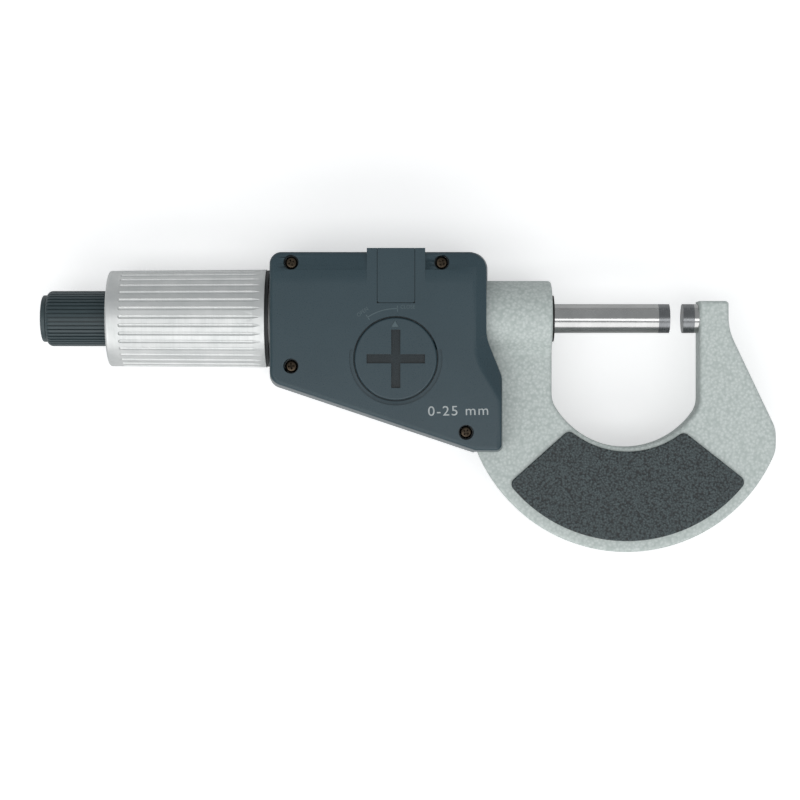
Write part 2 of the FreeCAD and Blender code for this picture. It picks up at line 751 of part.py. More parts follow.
screwPlaces = [
    (-s.screwLeft, s.screwTop),
    (screwTopRightX, s.screwTop),
    (-s.screwLeft, -s.screwLowLeft),
    (-s.screwLowX, -s.screwLowY),
]


def shell(label, depth, rear):
    """Outer form of one cover, from the parting plane to its face."""
    body = newBody(label)
    pad(body, coverOutline(newSketch(body, f"{label}Outline")), depth, back=not rear, taper=-s.draft)
    corners = [
        (s.cornerSmall, -s.housingLeft, s.housingTop),
        (s.cornerLarge, -s.housingRight, s.housingTop),
        (s.cornerLow, -s.housingLeft, -s.slopeLeft),
        (s.footBlend, -s.flatLeft, -s.housingBottom),
        (s.cornerFoot, -s.housingBulge, -s.housingBottom),
        (s.bulgeRound, -s.housingBulge, -s.bulgeEnd),
        (s.bulgeBlend, -s.housingRight, -s.bulgeStart),
    ]
    for radius, x, y in corners:
        roundEdges(body, radius, upright(x, y), "Corner")
    return body


def hollow(body, depth, rear):
    """Inside of one cover: cavity, screw bosses, round well, and the ways for barrel and plate."""
    pocket(body, cavityOutline(newSketch(body, "Cavity")), depth, back=rear, taper=-s.draft)
    outer = circles(newSketch(body, "OuterBosses"), screwPlaces[:3], s.bossWall)
    pad(body, outer, depth + 0.3, back=not rear)
    onPlate = s.plateHalf if rear else -s.plateHalf
    inner = circles(newSketch(body, "PlateBoss", offset=onPlate), screwPlaces[3:], s.bossWall)
    pad(body, inner, depth + 0.3 - s.plateHalf, back=not rear)
    well = outline(newSketch(body, "Well"), [
        (-s.housingLeft - 2, zero),
        (cavityLeftX + 1, zero),
        (cavityLeftX + 1, s.outerSleeve + 0.1),
        (wellFloorX, s.outerSleeve + 0.1),
        (wellFloorX, s.wellRadius),
        (-s.housingLeft - 2, s.wellRadius),
    ])
    groove(body, well)
    way = outline(newSketch(body, "BarrelWay"),
                  block(-s.housingRight - 3, -s.housingBulge + 1, zero, s.barrelRadius + s.frameGap))
    groove(body, way)
    plateWay = outline(newSketch(body, "PlateWay"), [
        (bowEndX - 0.1, -s.housingBottom - 3),
        (-s.housingBulge + 3, -s.housingBottom - 3),
        (-s.housingBulge + 3, zero),
        (-s.housingRight - s.sideWall - 0.5, zero),
        (-s.housingRight - s.sideWall - 0.5, bowEndY),
        (bowEndX - 0.1, bowEndY),
    ])
    pocket(body, plateWay, s.plateHalf + s.frameGap, back=rear)
    wayRadius = s.barrelRadius + s.frameGap
    wayHalf = s.plateHalf + s.frameGap
    meetY = -root(wayRadius * wayRadius - wayHalf * wayHalf)

    def besideWay(middle, ends):
        return near(middle.y, meetY) and all(near(abs(end.z), wayHalf) for end in ends)

    roundEdges(body, s.barrelBlend, besideWay, "WayBlend")


rear = shell("rear_cover", s.rearDepth, True)
fallCentre = s.rearDepth - s.slopeRadius
fallEndY = s.housingTop + 2
fallRun = fallEndY - s.slopeStart
fallEndZ = fallCentre + root(s.slopeRadius * s.slopeRadius - fallRun * fallRun)
for edge, name in ((bossRightX, "FallRight"), (bossLeftX, "FallLeft")):
    fall = outline(newSketch(rear, name, "YZ_Plane", edge), [
        (s.slopeStart, s.rearDepth, s.slopeRadius, -1),
        (fallEndY, fallEndZ),
        (fallEndY, s.rearDepth + 1),
        (s.slopeStart, s.rearDepth + 1),
    ])
    pocket(rear, fall, s.housingLeft, back=name == "FallRight")


def aroundRearFace(middle, ends):
    high = middle.z > s.rearDepth.number - 3.2 and all(end.z > s.rearDepth.number - 3.2 for end in ends)
    leftRim = middle.x < -s.housingLeft.number + 3.0
    rightRim = middle.x > -s.housingRight.number - 4.5
    lowRim = middle.y < -s.slopeLeft.number + 2.0
    topRim = middle.y > s.housingTop.number - 1.2
    upright = all(abs(end.z - middle.z) < 0.9 for end in ends)
    return high and upright and (leftRim or rightRim or lowRim or topRim)


roundEdges(rear, s.coverEdge, aroundRearFace, "FaceEdge")
raised = outline(newSketch(rear, "RaisedBoss"), block(bossLeftX, bossRightX, zero, s.bossTop))
pad(rear, raised, s.rearDepth)
hollow(rear, s.rearDepth - s.rearWall, True)


def upAxis(sketch, x):
    """A vertical construction line that a profile is turned about."""
    line = Part.LineSegment(vector(x.number, 0), vector(x.number, 5))
    item = sketch.addGeometry(line, True)
    pin(sketch, item, 1, x, zero)
    pin(sketch, item, 2, x, asSize(5))
    return "Axis0"


# Battery chamber with the lip that the cover's lugs hook under
lidSeatZ = s.rearDepth - s.lidSunk - s.lidRim
lidTopZ = s.rearDepth - s.lidSunk
lipZ = lidSeatZ - s.lipThick
neckEndZ = lipZ - s.lugGap - s.lugThick
cellZ = s.plateHalf + s.chamberFloor + s.contactThick
cellTopZ = cellZ + s.batteryHeight
chamberRadius = s.batteryRadius + s.batteryGap
lugRoom = s.neckRadius + s.lugReach + 0.3
batteryPlace = [(-s.batteryX, -s.batteryY)]
chamber = circles(newSketch(rear, "ChamberWall", offset=s.plateHalf), batteryPlace,
                  chamberRadius + s.chamberWall)
pad(rear, chamber, s.rearDepth - s.rearWall - s.plateHalf + 0.3)
lugRing = circles(newSketch(rear, "LugRing", offset=neckEndZ - 0.9), batteryPlace, lugRoom + 1)
pad(rear, lugRing, s.rearDepth - s.rearWall - neckEndZ + 1.2)
inside = newSketch(rear, "ChamberInside", "XZ_Plane", s.batteryY)
axis = upAxis(inside, -s.batteryX)
outline(inside, [(x - s.batteryX, z) for x, z in (
    (zero, s.plateHalf + s.chamberFloor),
    (chamberRadius, s.plateHalf + s.chamberFloor),
    (chamberRadius, neckEndZ - 0.1),
    (lugRoom, neckEndZ - 0.1),
    (lugRoom, lipZ),
    (s.neckRadius + s.neckGap, lipZ),
    (s.neckRadius + s.neckGap, lidSeatZ),
    (s.lidRadius + s.lidGap, lidSeatZ),
    (s.lidRadius + s.lidGap, s.rearDepth + 1),
    (zero, s.rearDepth + 1),
)])
groove(rear, inside, axis)


def turnedBlock(length, width, cosine):
    """Corners of a long block about the battery axis, turned by half a right angle."""
    corners = [(-length, -width), (length, -width), (length, width), (-length, width)]
    return [((a - b) * cosine - s.batteryX, (a + b) * cosine - s.batteryY) for a, b in corners]


entry = outline(newSketch(rear, "LugEntry", offset=lipZ - 0.05),
                turnedBlock(lugRoom - 0.1, s.lugWidth / 2 + 0.3, math.sqrt(0.5)))
pocket(rear, entry, s.lipThick + 0.1, back=True)
thumb = newSketch(rear, "ThumbRecess", "YZ_Plane", -s.batteryX)
axis = upAxis(thumb, -s.batteryY)
thumbInner = s.lidRadius + s.lidGap - 0.1
thumbOuter = s.lidRadius + s.lidGap + s.thumbWidth
outline(thumb, block(-s.batteryY - thumbOuter, -s.batteryY - thumbInner,
                     s.rearDepth - s.thumbDepth, s.rearDepth + 1))
groove(rear, thumb, axis, angle=204, middle=True)

# Data port: recess, rail grooves and the hole for the socket
portFloorZ = s.rearDepth - s.portThick
recess = outline(newSketch(rear, "PortRecess", offset=portFloorZ),
                 block(portLeftX, portRightX, s.portBottom, s.bossTop + 2))
pocket(rear, recess, s.portThick + 1, back=True)
railRoom = s.railReach + 0.15
rails = outline(newSketch(rear, "PortRails", offset=portFloorZ),
                block(portLeftX - railRoom, portRightX + railRoom, s.portBottom + 1, s.bossTop + 2))
pocket(rear, rails, s.railThick + 0.1, back=True)
socketX = (portLeftX + s.portMargin, portRightX - s.portMargin)
socketY = (s.portBottom + s.portMargin, s.housingTop - s.sideWall - 1.4)
socketHole = outline(newSketch(rear, "SocketHole", offset=s.rearDepth - s.rearWall - 0.5),
                     block(socketX[0], socketX[1], socketY[0], socketY[1]))
pocket(rear, socketHole, s.rearWall + 1, back=True)

# Screw holes of both covers
headSeatZ = s.rearDepth - s.screwSunk
sunk = circles(newSketch(rear, "ScrewHeads", offset=headSeatZ), screwPlaces, s.screwHole)
pocket(rear, sunk, s.screwSunk + 1, back=True)
clear = circles(newSketch(rear, "ScrewShanks"), screwPlaces, s.screwRadius + s.screwClear)
pocket(rear, clear, s.rearDepth, back=True)

front = shell("front_cover", s.frontDepth, False)


def aroundFrontFace(middle, ends):
    return near(middle.z, restZ) and all(near(end.z, restZ) for end in ends)


roundEdges(front, s.coverEdge, aroundFrontFace, "FaceEdge")
hollow(front, s.frontDepth - s.frontWall, False)
pilot = circles(newSketch(front, "ScrewPilots"), screwPlaces, s.screwRadius)
pocket(front, pilot, s.screwLength - headSeatZ + 0.4)

# Display window, posts of the circuit board and button holes of the front cover
windowSeatZ = restZ + s.windowSunk + s.windowThick
frontInnerZ = restZ + s.frontWall
windowRightX = s.windowWidth - s.windowX
windowTopY = s.windowBottom + s.windowTall


def windowBlock(inset):
    return block(inset - s.windowX, windowRightX - inset, s.windowBottom + inset, windowTopY - inset)


pocket(front, outline(newSketch(front, "WindowRecess", offset=windowSeatZ), windowBlock(zero)),
       s.windowThick + 1)
pocket(front, outline(newSketch(front, "WindowOpening", offset=windowSeatZ), windowBlock(s.windowLedge)),
       s.frontWall, back=True)
glassZ = frontInnerZ + s.glassThick
holderZ = glassZ + s.holderThick
boardZ = holderZ + s.boardThick
postPlaces = [
    (x, y)
    for x in (s.postInset - s.boardLeft, -s.boardRight - s.postInset)
    for y in (s.boardTop - s.postInset, s.postInset - s.boardBottom)
]
posts = circles(newSketch(front, "BoardPosts", offset=holderZ), postPlaces, s.postRadius)
pad(front, posts, holderZ - frontInnerZ + 0.3, back=True)
buttonPlaces = [(s.buttonPitch * number - s.buttonX, -s.buttonY) for number in range(3)]
holes = circles(newSketch(front, "ButtonHoles", offset=frontInnerZ + 0.2), buttonPlaces,
                s.buttonRadius + s.buttonGap)
pocket(front, holes, s.frontWall + 1)

# Cover screws: four in one node
screws = newBody("cover_screws")
screws.AllowCompound = True
pad(screws, circles(newSketch(screws, "Heads", offset=headSeatZ), screwPlaces, s.screwHead), s.screwHeadDepth)
pad(screws, circles(newSketch(screws, "Shanks", offset=headSeatZ), screwPlaces, s.screwRadius),
    s.screwLength, back=True)

# Battery cover, turned about its own axis, with lugs and a cross slot for a coin
lid = newBody("battery_cover", -s.batteryX, -s.batteryY)
ringZ = (lipZ + lidSeatZ) / 2
ringGrooveHalf = s.ringSection
ringGrooveRadius = s.neckRadius + s.neckGap - 0.05 - s.ringSection * 2
lidProfile = outline(newSketch(lid, "LidProfile", "XZ_Plane"), [
    (zero, cellTopZ),
    (s.batteryRadius + 0.2, cellTopZ),
    (s.batteryRadius + 0.2, neckEndZ),
    (s.neckRadius, neckEndZ),
    (s.neckRadius, ringZ - ringGrooveHalf),
    (ringGrooveRadius, ringZ - ringGrooveHalf),
    (ringGrooveRadius, ringZ + ringGrooveHalf),
    (s.neckRadius, ringZ + ringGrooveHalf),
    (s.neckRadius, lidSeatZ),
    (s.lidRadius, lidSeatZ),
    (s.lidRadius, lidTopZ),
    (zero, lidTopZ),
])
turn(lid, lidProfile, "V_Axis")


def lidRimEdge(middle, ends):
    return near(middle.z, lidTopZ) and all(near(end.z, lidTopZ) for end in ends)


roundEdges(lid, s.ringSection, lidRimEdge, "LidRim")
lugs = newSketch(lid, "Lugs", offset=neckEndZ)
lugRoot = s.neckRadius - 0.4
lugEnd = s.neckRadius + s.lugReach
outline(lugs, block(lugRoot, lugEnd, -s.lugWidth / 2, s.lugWidth / 2))
outline(lugs, block(-lugEnd, -lugRoot, -s.lugWidth / 2, s.lugWidth / 2))
pad(lid, lugs, s.lugThick)
armHalf, armLong = s.crossWidth / 2, s.crossLength / 2
cross = outline(newSketch(lid, "CoinSlot", offset=lidTopZ - s.crossDepth), [
    (-armLong, -armHalf), (-armHalf, -armHalf), (-armHalf, -armLong), (armHalf, -armLong),
    (armHalf, -armHalf), (armLong, -armHalf), (armLong, armHalf), (armHalf, armHalf),
    (armHalf, armLong), (-armHalf, armLong), (-armHalf, armHalf), (-armLong, armHalf),
])
pocket(lid, cross, s.crossDepth + 1, back=True)
seal = newBody("battery_seal", -s.batteryX, -s.batteryY)
section = circles(newSketch(seal, "SealSection", "XZ_Plane"), [(ringGrooveRadius + s.ringSection, ringZ)],
                  s.ringSection)
turn(seal, section, "V_Axis")

# Button cell and its two contacts
cell = newBody("battery", -s.batteryX, -s.batteryY)
capZ = cellZ + 0.6
cellProfile = outline(newSketch(cell, "CellProfile", "XZ_Plane"), [
    (zero, cellZ),
    (s.batteryRadius - 1.2, cellZ),
    (s.batteryRadius - 1.2, capZ),
    (s.batteryRadius, capZ),
    (s.batteryRadius, cellTopZ),
    (zero, cellTopZ),
])
turn(cell, cellProfile, "V_Axis")
under = newBody("battery_contact_minus", -s.batteryX, -s.batteryY)
pad(under, outline(newSketch(under, "Leaf", offset=cellZ - s.contactThick),
                   block(-s.batteryRadius + 1, s.batteryRadius - 1, -s.contactWidth / 2,
                         s.contactWidth / 2)), s.contactThick)
beside = newBody("battery_contact_plus", -s.batteryX, -s.batteryY)
pad(beside, outline(newSketch(beside, "Strip", offset=capZ + 0.2),
                    block(-s.batteryRadius - s.contactThick, -s.batteryRadius, -s.contactWidth / 2,
                          s.contactWidth / 2)),
    neckEndZ - capZ - 0.5)

# Data port: socket, its pins and the sliding cover
socket = newBody("port_socket")
socketBase = portFloorZ - s.socketDepth
inset = asSize(0.05)
pad(socket, outline(newSketch(socket, "SocketBody", offset=socketBase),
                    block(socketX[0] + inset, socketX[1] - inset, socketY[0] + inset, socketY[1] - inset)),
    s.socketDepth)
flange = asSize(0.7)
pad(socket, outline(newSketch(socket, "SocketFlange", offset=socketBase),
                    block(socketX[0] - flange, socketX[1] + flange, socketY[0] - flange, socketY[1] + flange)),
    s.rearDepth - s.rearWall - socketBase)
socketMidX = (socketX[0] + socketX[1]) / 2
socketMidY = (socketY[0] + socketY[1]) / 2
pinRow = s.pinPitch / 2
mouthX, mouthY = s.pinPitch + 0.9, s.pinPitch * 2 + 0.9
pocket(socket, outline(newSketch(socket, "SocketMouth", offset=socketBase + 1),
                       block(socketMidX - mouthX, socketMidX + mouthX, socketMidY - mouthY,
                             socketMidY + mouthY)), s.socketDepth, back=True)
pins = newBody("port_pins")
pins.AllowCompound = True
pinPlaces = [
    (socketMidX + pinRow * side, socketMidY + s.pinPitch * step)
    for side in (-1, 1)
    for step in (-2, -1, 0, 1, 2)
]
pad(pins, circles(newSketch(pins, "Pins", offset=socketBase + 1), pinPlaces, s.pinRadius),
    s.socketDepth - 1.6)
portCover = newBody("port_cover")
pad(portCover, outline(newSketch(portCover, "PortPlate", offset=portFloorZ),
                       block(portLeftX + s.portGap, portRightX - s.portGap,
                             s.portBottom + s.portGap, s.bossTop)), s.portThick)


def portCorner(middle, ends):
    return abs(ends[0].z - ends[-1].z) > 0.3 and near(middle.y, s.portBottom + s.portGap)


roundEdges(portCover, s.coverEdge / 2, portCorner, "PortCorners")
pad(portCover, outline(newSketch(portCover, "PortRail", offset=portFloorZ),
                       block(portLeftX + s.portGap - s.railReach, portRightX - s.portGap + s.railReach,
                             s.portBottom + 1 + s.portGap, s.housingTop - 1)), s.railThick)

# Anvil and spindle with their carbide tips, and the wiper ring at the barrel
turned("anvil_tip", block(zero, s.tipLength, zero, s.spindleRadius))
turned("anvil", block(s.tipLength, s.anvilProud + s.anvilSeat, zero, s.spindleRadius))
tipX = -s.opening - s.tipLength
bushRightX = thimbleLeftX + s.bushLength
turned("spindle_tip", block(tipX, -s.opening, zero, s.spindleRadius))
seatRadius = s.threadRadius - 0.8
spindle = turned("spindle", [
    (thimbleLeftX, zero),
    (tipX, zero),
    (tipX, s.spindleRadius),
    (-s.threadStart, s.spindleRadius),
    (-s.threadStart, s.threadRadius),
    (bushRightX, s.threadRadius),
    (bushRightX, seatRadius),
    (thimbleLeftX, seatRadius),
])
keyRightX = hubLeftX + s.keyLength + s.travelOpen + 0.3
keyLeftX = hubLeftX - s.opening - 0.3
keyFloorZ = s.spindleRadius - s.keywayDepth
keyway = outline(newSketch(spindle, "Keyway", offset=keyFloorZ),
                 block(keyLeftX, keyRightX, -s.keywayWidth / 2, s.keywayWidth / 2))
pocket(spindle, keyway, s.keywayDepth + 1, back=True)
turned("spindle_wiper", block(-s.throatLeft - s.sealSeat, s.sealProud - s.throatLeft,
                              s.spindleRadius + 0.08, s.sealRadius))

# Encoder: the stator on the barrel's end, the rotor on the spindle with its key
turned("encoder_stator", block(statorLeftX, barrelLeftX, s.slotHalf, s.statorRadius))
rotor = turned("encoder_rotor", [
    (hubLeftX, spindleBore),
    (rotorRightX, spindleBore),
    (rotorRightX, s.statorRadius),
    (rotorLeftX, s.statorRadius),
    (rotorLeftX, s.rotorHub),
    (hubLeftX, s.rotorHub),
])
keyHalf = s.keywayWidth / 2 - s.runningGap * 2
key = outline(newSketch(rotor, "Key", "YZ_Plane", hubLeftX),
              block(-keyHalf, keyHalf, keyFloorZ + 0.1, spindleBore + 0.3))
pad(rotor, key, s.keyLength)

# Sleeves and adjusting nut inside the thimble
shoulderX = -s.hubRight - s.sleeveShoulder
threadBore = s.threadRadius + s.runningGap
turned("inner_sleeve", [
    (-s.sleeveEnd, threadBore),
    (s.nutLength - s.sleeveEnd, threadBore),
    (s.nutLength - s.sleeveEnd, s.innerBore),
    (shoulderX, s.innerBore),
    (shoulderX, s.innerSleeve),
    (-s.sleeveEnd, s.innerSleeve),
])
turned("outer_sleeve", block(s.ringNutLength - s.sleeveEnd, -s.hubLeft, s.innerSleeve, s.outerSleeve))
turned("adjusting_nut", block(-s.sleeveEnd, s.ringNutLength - s.sleeveEnd, s.innerSleeve, s.ringNutRadius))

# Thimble: turned, then fluted all round with flutes that run out before the right end
thimbleLeftRadius = s.thimbleRadius - s.thimbleTaper
thimble = turned("thimble", [
    (thimbleLeftX, s.bushRadius),
    (thimbleLeftX + s.thimbleEnd, s.bushRadius),
    (thimbleLeftX + s.thimbleEnd, s.thimbleBore),
    (thimbleRightX, s.thimbleBore),
    (thimbleRightX, s.thimbleRadius),
    (thimbleLeftX, thimbleLeftRadius),
])


def thimbleLeftRim(middle, ends):
    radius = math.hypot(ends[0].y, ends[0].z)
    return near(ends[0].x, thimbleLeftX) and near(radius, thimbleLeftRadius)


roundEdges(thimble, s.thimbleEdge, thimbleLeftRim, "LeftRim")
fluteLeftX = thimbleLeftX + s.fluteStart
fluteEndX = thimbleRightX - s.fluteBand
fluteFullX = fluteEndX - s.fluteRunOut
cone = s.thimbleTaper / s.thimbleLength


def fluteCentre(x):
    return s.thimbleRadius + s.fluteLift - cone * (thimbleRightX - x)


flute = newSketch(thimble, "Flute")
outline(flute, [
    (fluteLeftX, fluteCentre(fluteLeftX), s.fluteRadius, 1),
    (fluteLeftX + s.fluteRadius, fluteCentre(fluteLeftX) - s.fluteRadius),
    (fluteFullX, fluteCentre(fluteFullX) - s.fluteRadius),
    (fluteEndX, fluteCentre(fluteEndX) - s.fluteLift),
    (fluteEndX, fluteCentre(fluteEndX)),
])
fluteAxis = Part.LineSegment(vector(fluteLeftX.number, fluteCentre(fluteLeftX).number),
                             vector(fluteEndX.number, fluteCentre(fluteEndX).number))
item = flute.addGeometry(fluteAxis, True)
pin(flute, item, 1, fluteLeftX, fluteCentre(fluteLeftX))
pin(flute, item, 2, fluteEndX, fluteCentre(fluteEndX))
fluteCut = groove(thimble, flute, "Axis0")
polar(thimble, [fluteCut], s.fluteCount, "X_Axis")
thimbleRing = turned("thimble_ring", [
    (thimbleRightX, s.thimbleBore),
    (thimbleRightX + s.ringWidth, s.thimbleBore),
    (thimbleRightX + s.ringWidth, s.ringRadius),
    (thimbleRightX + s.ringWidth / 3, s.ringRadius),
    (thimbleRightX + s.ringWidth / 3, s.ringRadius - s.ringWidth / 2),
    (thimbleRightX, s.ringRadius - s.ringWidth / 2),
])
turned("thimble_bush", block(thimbleLeftX, bushRightX, seatRadius, s.bushRadius))

# Ratchet stop: toothed ring on the thimble, pawl ring and spring in the knob, screw and cap
ringLeftX = thimbleLeftX - s.ratchetLength
pawlLeftX = ringLeftX - s.ratchetLength
webLeftX = knobLeftX + s.capPlug
webRightX = webLeftX + 1
bearing = s.stemRadius + s.runningGap
ratchet = turned("ratchet_ring", block(ringLeftX, thimbleLeftX, s.stemRadius, s.ratchetRadius))
tooth = outline(newSketch(ratchet, "Tooth", "YZ_Plane", ringLeftX), [
    (-s.stemRadius / 5, s.stemRadius - 0.5),
    (s.stemRadius / 5, s.stemRadius - 0.5),
    (s.stemRadius / 5, s.ratchetRadius + 0.5),
    (-s.stemRadius / 5, s.ratchetRadius + 0.5),
])
toothCut = pocket(ratchet, tooth, s.ratchetLength / 3, back=True)
polar(ratchet, [toothCut], asSize(8), "X_Axis")
turned("ratchet_pawl", block(pawlLeftX, ringLeftX, bearing + 0.1, s.ratchetRadius - 0.05))
turned("ratchet_screw", [
    (webLeftX - 1.1, zero),
    (thimbleLeftX, zero),
    (thimbleLeftX, s.stemRadius),
    (webLeftX, s.stemRadius),
    (webLeftX, s.stemRadius + 1),
    (webLeftX - 1.1, s.stemRadius + 1),
])
knob = turned("ratchet_knob", [
    (knobLeftX, s.knobBore - 0.4),
    (webLeftX, s.knobBore - 0.4),
    (webLeftX, bearing),
    (webRightX, bearing),
    (webRightX, s.knobBore),
    (knobRightX, s.knobBore),
    (knobRightX, s.knobRadius),
    (knobLeftX, s.knobRadius),
])


def knobShoulder(middle, ends):
    radius = math.hypot(ends[0].y, ends[0].z)
    return near(ends[0].x, knobLeftX) and near(radius, s.knobRadius)


roundEdges(knob, s.knobRound, knobShoulder, "Shoulder")
rib = outline(newSketch(knob, "RibGap", "YZ_Plane", knobLeftX), [
    (-s.ribWidth / 4, s.knobRadius - s.ribDepth),
    (s.ribWidth / 4, s.knobRadius - s.ribDepth),
    (s.ribWidth / 2, s.knobRadius + 0.2),
    (-s.ribWidth / 2, s.knobRadius + 0.2),
])
ribCut = pocket(knob, rib, s.knobLength + 1, back=True)
polar(knob, [ribCut], s.ribCount, "X_Axis")
cap = turned("knob_cap", [
    (knobLeftX - s.capLength, zero),
    (knobLeftX + 0.4, zero),
    (knobLeftX + 0.4, s.knobBore - 0.4),
    (knobLeftX, s.knobBore - 0.4),
    (knobLeftX, s.capRadius),
    (knobLeftX - s.capLength, s.capRadius),
])


def capRim(middle, ends):
    return near(ends[0].x, knobLeftX - s.capLength)


roundEdges(cap, s.capLength / 3, capRim, "CapRim")
spring = newBody("ratchet_spring")
wireStart = pawlLeftX - s.springWire
wireLength = wireStart - webRightX - s.springWire
wire = circles(newSketch(spring, "Wire"), [(wireStart, s.springRadius)], s.springWire)
coil = spring.newObject("PartDesign::AdditiveHelix", "Coil")
coil.Profile = wire
coil.ReferenceAxis = (wire, ["H_Axis"])
coil.Mode = 2
coil.setExpression("Turns", s.springTurns.text)
coil.setExpression("Height", wireLength.text)
coil.Turns = s.springTurns.number
coil.Height = wireLength.number
coil.Reversed = True
checkedStep(spring, coil, "winds")

# Display, circuit board and keypad behind the front cover
windowPane = newBody("display_window")
pad(windowPane, outline(newSketch(windowPane, "Pane", offset=windowSeatZ), windowBlock(asSize(0.06))),
    s.windowThick, back=True)
glass = newBody("lcd_glass")
pad(glass, outline(newSketch(glass, "Glass", offset=frontInnerZ), windowBlock(asSize(0.3))), s.glassThick)
holder = newBody("lcd_holder")
pad(holder, outline(newSketch(holder, "HolderOuter", offset=glassZ), windowBlock(asSize(0.3))), s.holderThick)
pocket(holder, outline(newSketch(holder, "HolderInner", offset=glassZ), windowBlock(s.holderWall + 0.3)),
       s.holderThick, back=True)
strip = newBody("lcd_connector")
pad(strip, outline(newSketch(strip, "Strip", offset=glassZ),
                   block(s.holderWall + 0.5 - s.windowX, windowRightX - s.holderWall - 0.5,
                         s.windowBottom + s.holderWall + 0.5, s.windowBottom + s.holderWall + 2.2)),
    s.holderThick)
board = newBody("circuit_board")
pad(board, outline(newSketch(board, "Board", offset=holderZ),
                   block(-s.boardLeft, -s.boardRight, -s.boardBottom, s.boardTop)), s.boardThick)
keypad = newBody("keypad")
pad(keypad, outline(newSketch(keypad, "Sheet", offset=holderZ),
                    block(-s.boardLeft + 0.4, s.buttonPitch * 2 - s.buttonX + s.buttonRadius + 1,
                          -s.buttonY - s.buttonRadius - 0.4, -s.buttonY + s.buttonRadius)),
    s.keypadThick, back=True)
for number, (x, y) in enumerate(buttonPlaces, start=1):
    button = newBody(f"button_{number}", x, y)
    flangeTop = frontInnerZ + s.buttonFlangeThick
    pad(button, circles(newSketch(button, "Flange", offset=frontInnerZ), [(zero, zero)],
                        s.buttonRadius + s.buttonFlange), s.buttonFlangeThick)
    pad(button, circles(newSketch(button, "Cap", offset=frontInnerZ), [(zero, zero)], s.buttonRadius),
        s.frontWall - s.buttonSunk, back=True)

# Spindle clamp on the display side: a lever and the shaft that presses on the spindle
lever = newBody("clamp_lever", -s.clampX)
leverZ = clampFlatZ - s.clampGap / 2
pad(lever, circles(newSketch(lever, "LeverHub", offset=leverZ), [(zero, zero)], s.clampHub),
    s.clampThick, back=True)
leverTipY = -s.clampReach
pad(lever, outline(newSketch(lever, "LeverArm", offset=leverZ - s.clampDrop), [
    (-s.clampHub + 0.4, zero),
    (-s.clampTip, leverTipY, s.clampTip * 1.1, 1),
    (s.clampTip, leverTipY),
    (s.clampHub - 0.4, zero),
]), s.clampThick - s.clampDrop, back=True)


def leverRim(middle, ends):
    return near(middle.z, leverZ - s.clampThick) and all(near(end.z, leverZ - s.clampThick) for end in ends)


roundEdges(lever, s.clampGap * 1.5, leverRim, "LeverRim")
pocket(lever, circles(newSketch(lever, "LeverBore", offset=leverZ), [(zero, zero)], s.clampRadius),
       s.clampThick / 2)
shaft = newBody("clamp_shaft", -s.clampX)
pad(shaft, circles(newSketch(shaft, "Shaft", offset=-(s.spindleRadius + s.clampGap)), [(zero, zero)],
                   s.clampRadius),
    s.clampThick / 2 - leverZ - s.spindleRadius - s.clampGap, back=True)


# Check and write
doc.recompute()
bodies = [item for item in doc.Objects if item.TypeId == "PartDesign::Body"]
for item in doc.Objects:
    if "Invalid" in item.State or "Error" in item.State:
        raise RuntimeError(f"{item.Label} is {item.State}")
for item in bodies:
    if item.Shape.isNull() or not item.Shape.isValid():
        raise RuntimeError(f"{item.Label} has no valid shape")
for item in bodies:
    item.Shape.exportStep(f"parts/{item.Label}.step")
    print(item.Label, len(item.Shape.Solids), round(item.Shape.Volume, 2))
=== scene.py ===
import bpy
import math
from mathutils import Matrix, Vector


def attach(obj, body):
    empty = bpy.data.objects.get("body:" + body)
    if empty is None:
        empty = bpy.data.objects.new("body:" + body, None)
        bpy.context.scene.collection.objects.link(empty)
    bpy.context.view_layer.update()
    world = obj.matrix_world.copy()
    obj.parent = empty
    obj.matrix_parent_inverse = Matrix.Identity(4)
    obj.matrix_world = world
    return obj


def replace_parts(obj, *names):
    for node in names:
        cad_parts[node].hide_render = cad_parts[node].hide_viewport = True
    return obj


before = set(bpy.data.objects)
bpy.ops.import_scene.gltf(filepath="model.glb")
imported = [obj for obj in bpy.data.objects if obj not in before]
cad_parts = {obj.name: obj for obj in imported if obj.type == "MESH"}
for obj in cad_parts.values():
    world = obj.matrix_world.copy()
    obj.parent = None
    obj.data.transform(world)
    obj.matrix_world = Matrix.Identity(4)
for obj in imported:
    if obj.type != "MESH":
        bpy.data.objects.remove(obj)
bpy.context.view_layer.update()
print("frame loaded,", len(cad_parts), "nodes")

# Sizes below are in millimetres from the centre of the anvil's measuring face:
# x towards the anvil, y away from the bow, z out of the rear cover
axisPlace = (61.05, 18.5, 12.9)


def at(x, y, z):
    return Vector((x + axisPlace[0], y + axisPlace[1], z + axisPlace[2])) / 1000


def mm(value):
    return value / 1000


def shade(red, green, blue):
    # linear colour of an 8-bit one
    parts = []
    for value in (red, green, blue):
        value = value / 255
        parts.append(value / 12.92 if value <= 0.04045 else ((value + 0.055) / 1.055) ** 2.4)
    return (*parts, 1.0)


# camera
cameraView = {
    "axis": (-61.36, -18.17),  # point under the lens
    "distance": 480.0,  # from the spindle's axis
    "lens": 96.77,
    "sensor": 36,
    "shift": -0.00874,
    "nearest": 0.05,  # metres
}
bpy.ops.object.camera_add(location=at(*cameraView["axis"], cameraView["distance"]), rotation=(0, 0, 0))
camera = bpy.context.object
camera.name = "camera"
camera.data.lens = cameraView["lens"]
camera.data.sensor_width = cameraView["sensor"]
camera.data.shift_x = cameraView["shift"]
camera.data.clip_start = cameraView["nearest"]
bpy.context.scene.camera = camera
bpy.context.scene.view_settings.view_transform = "Standard"

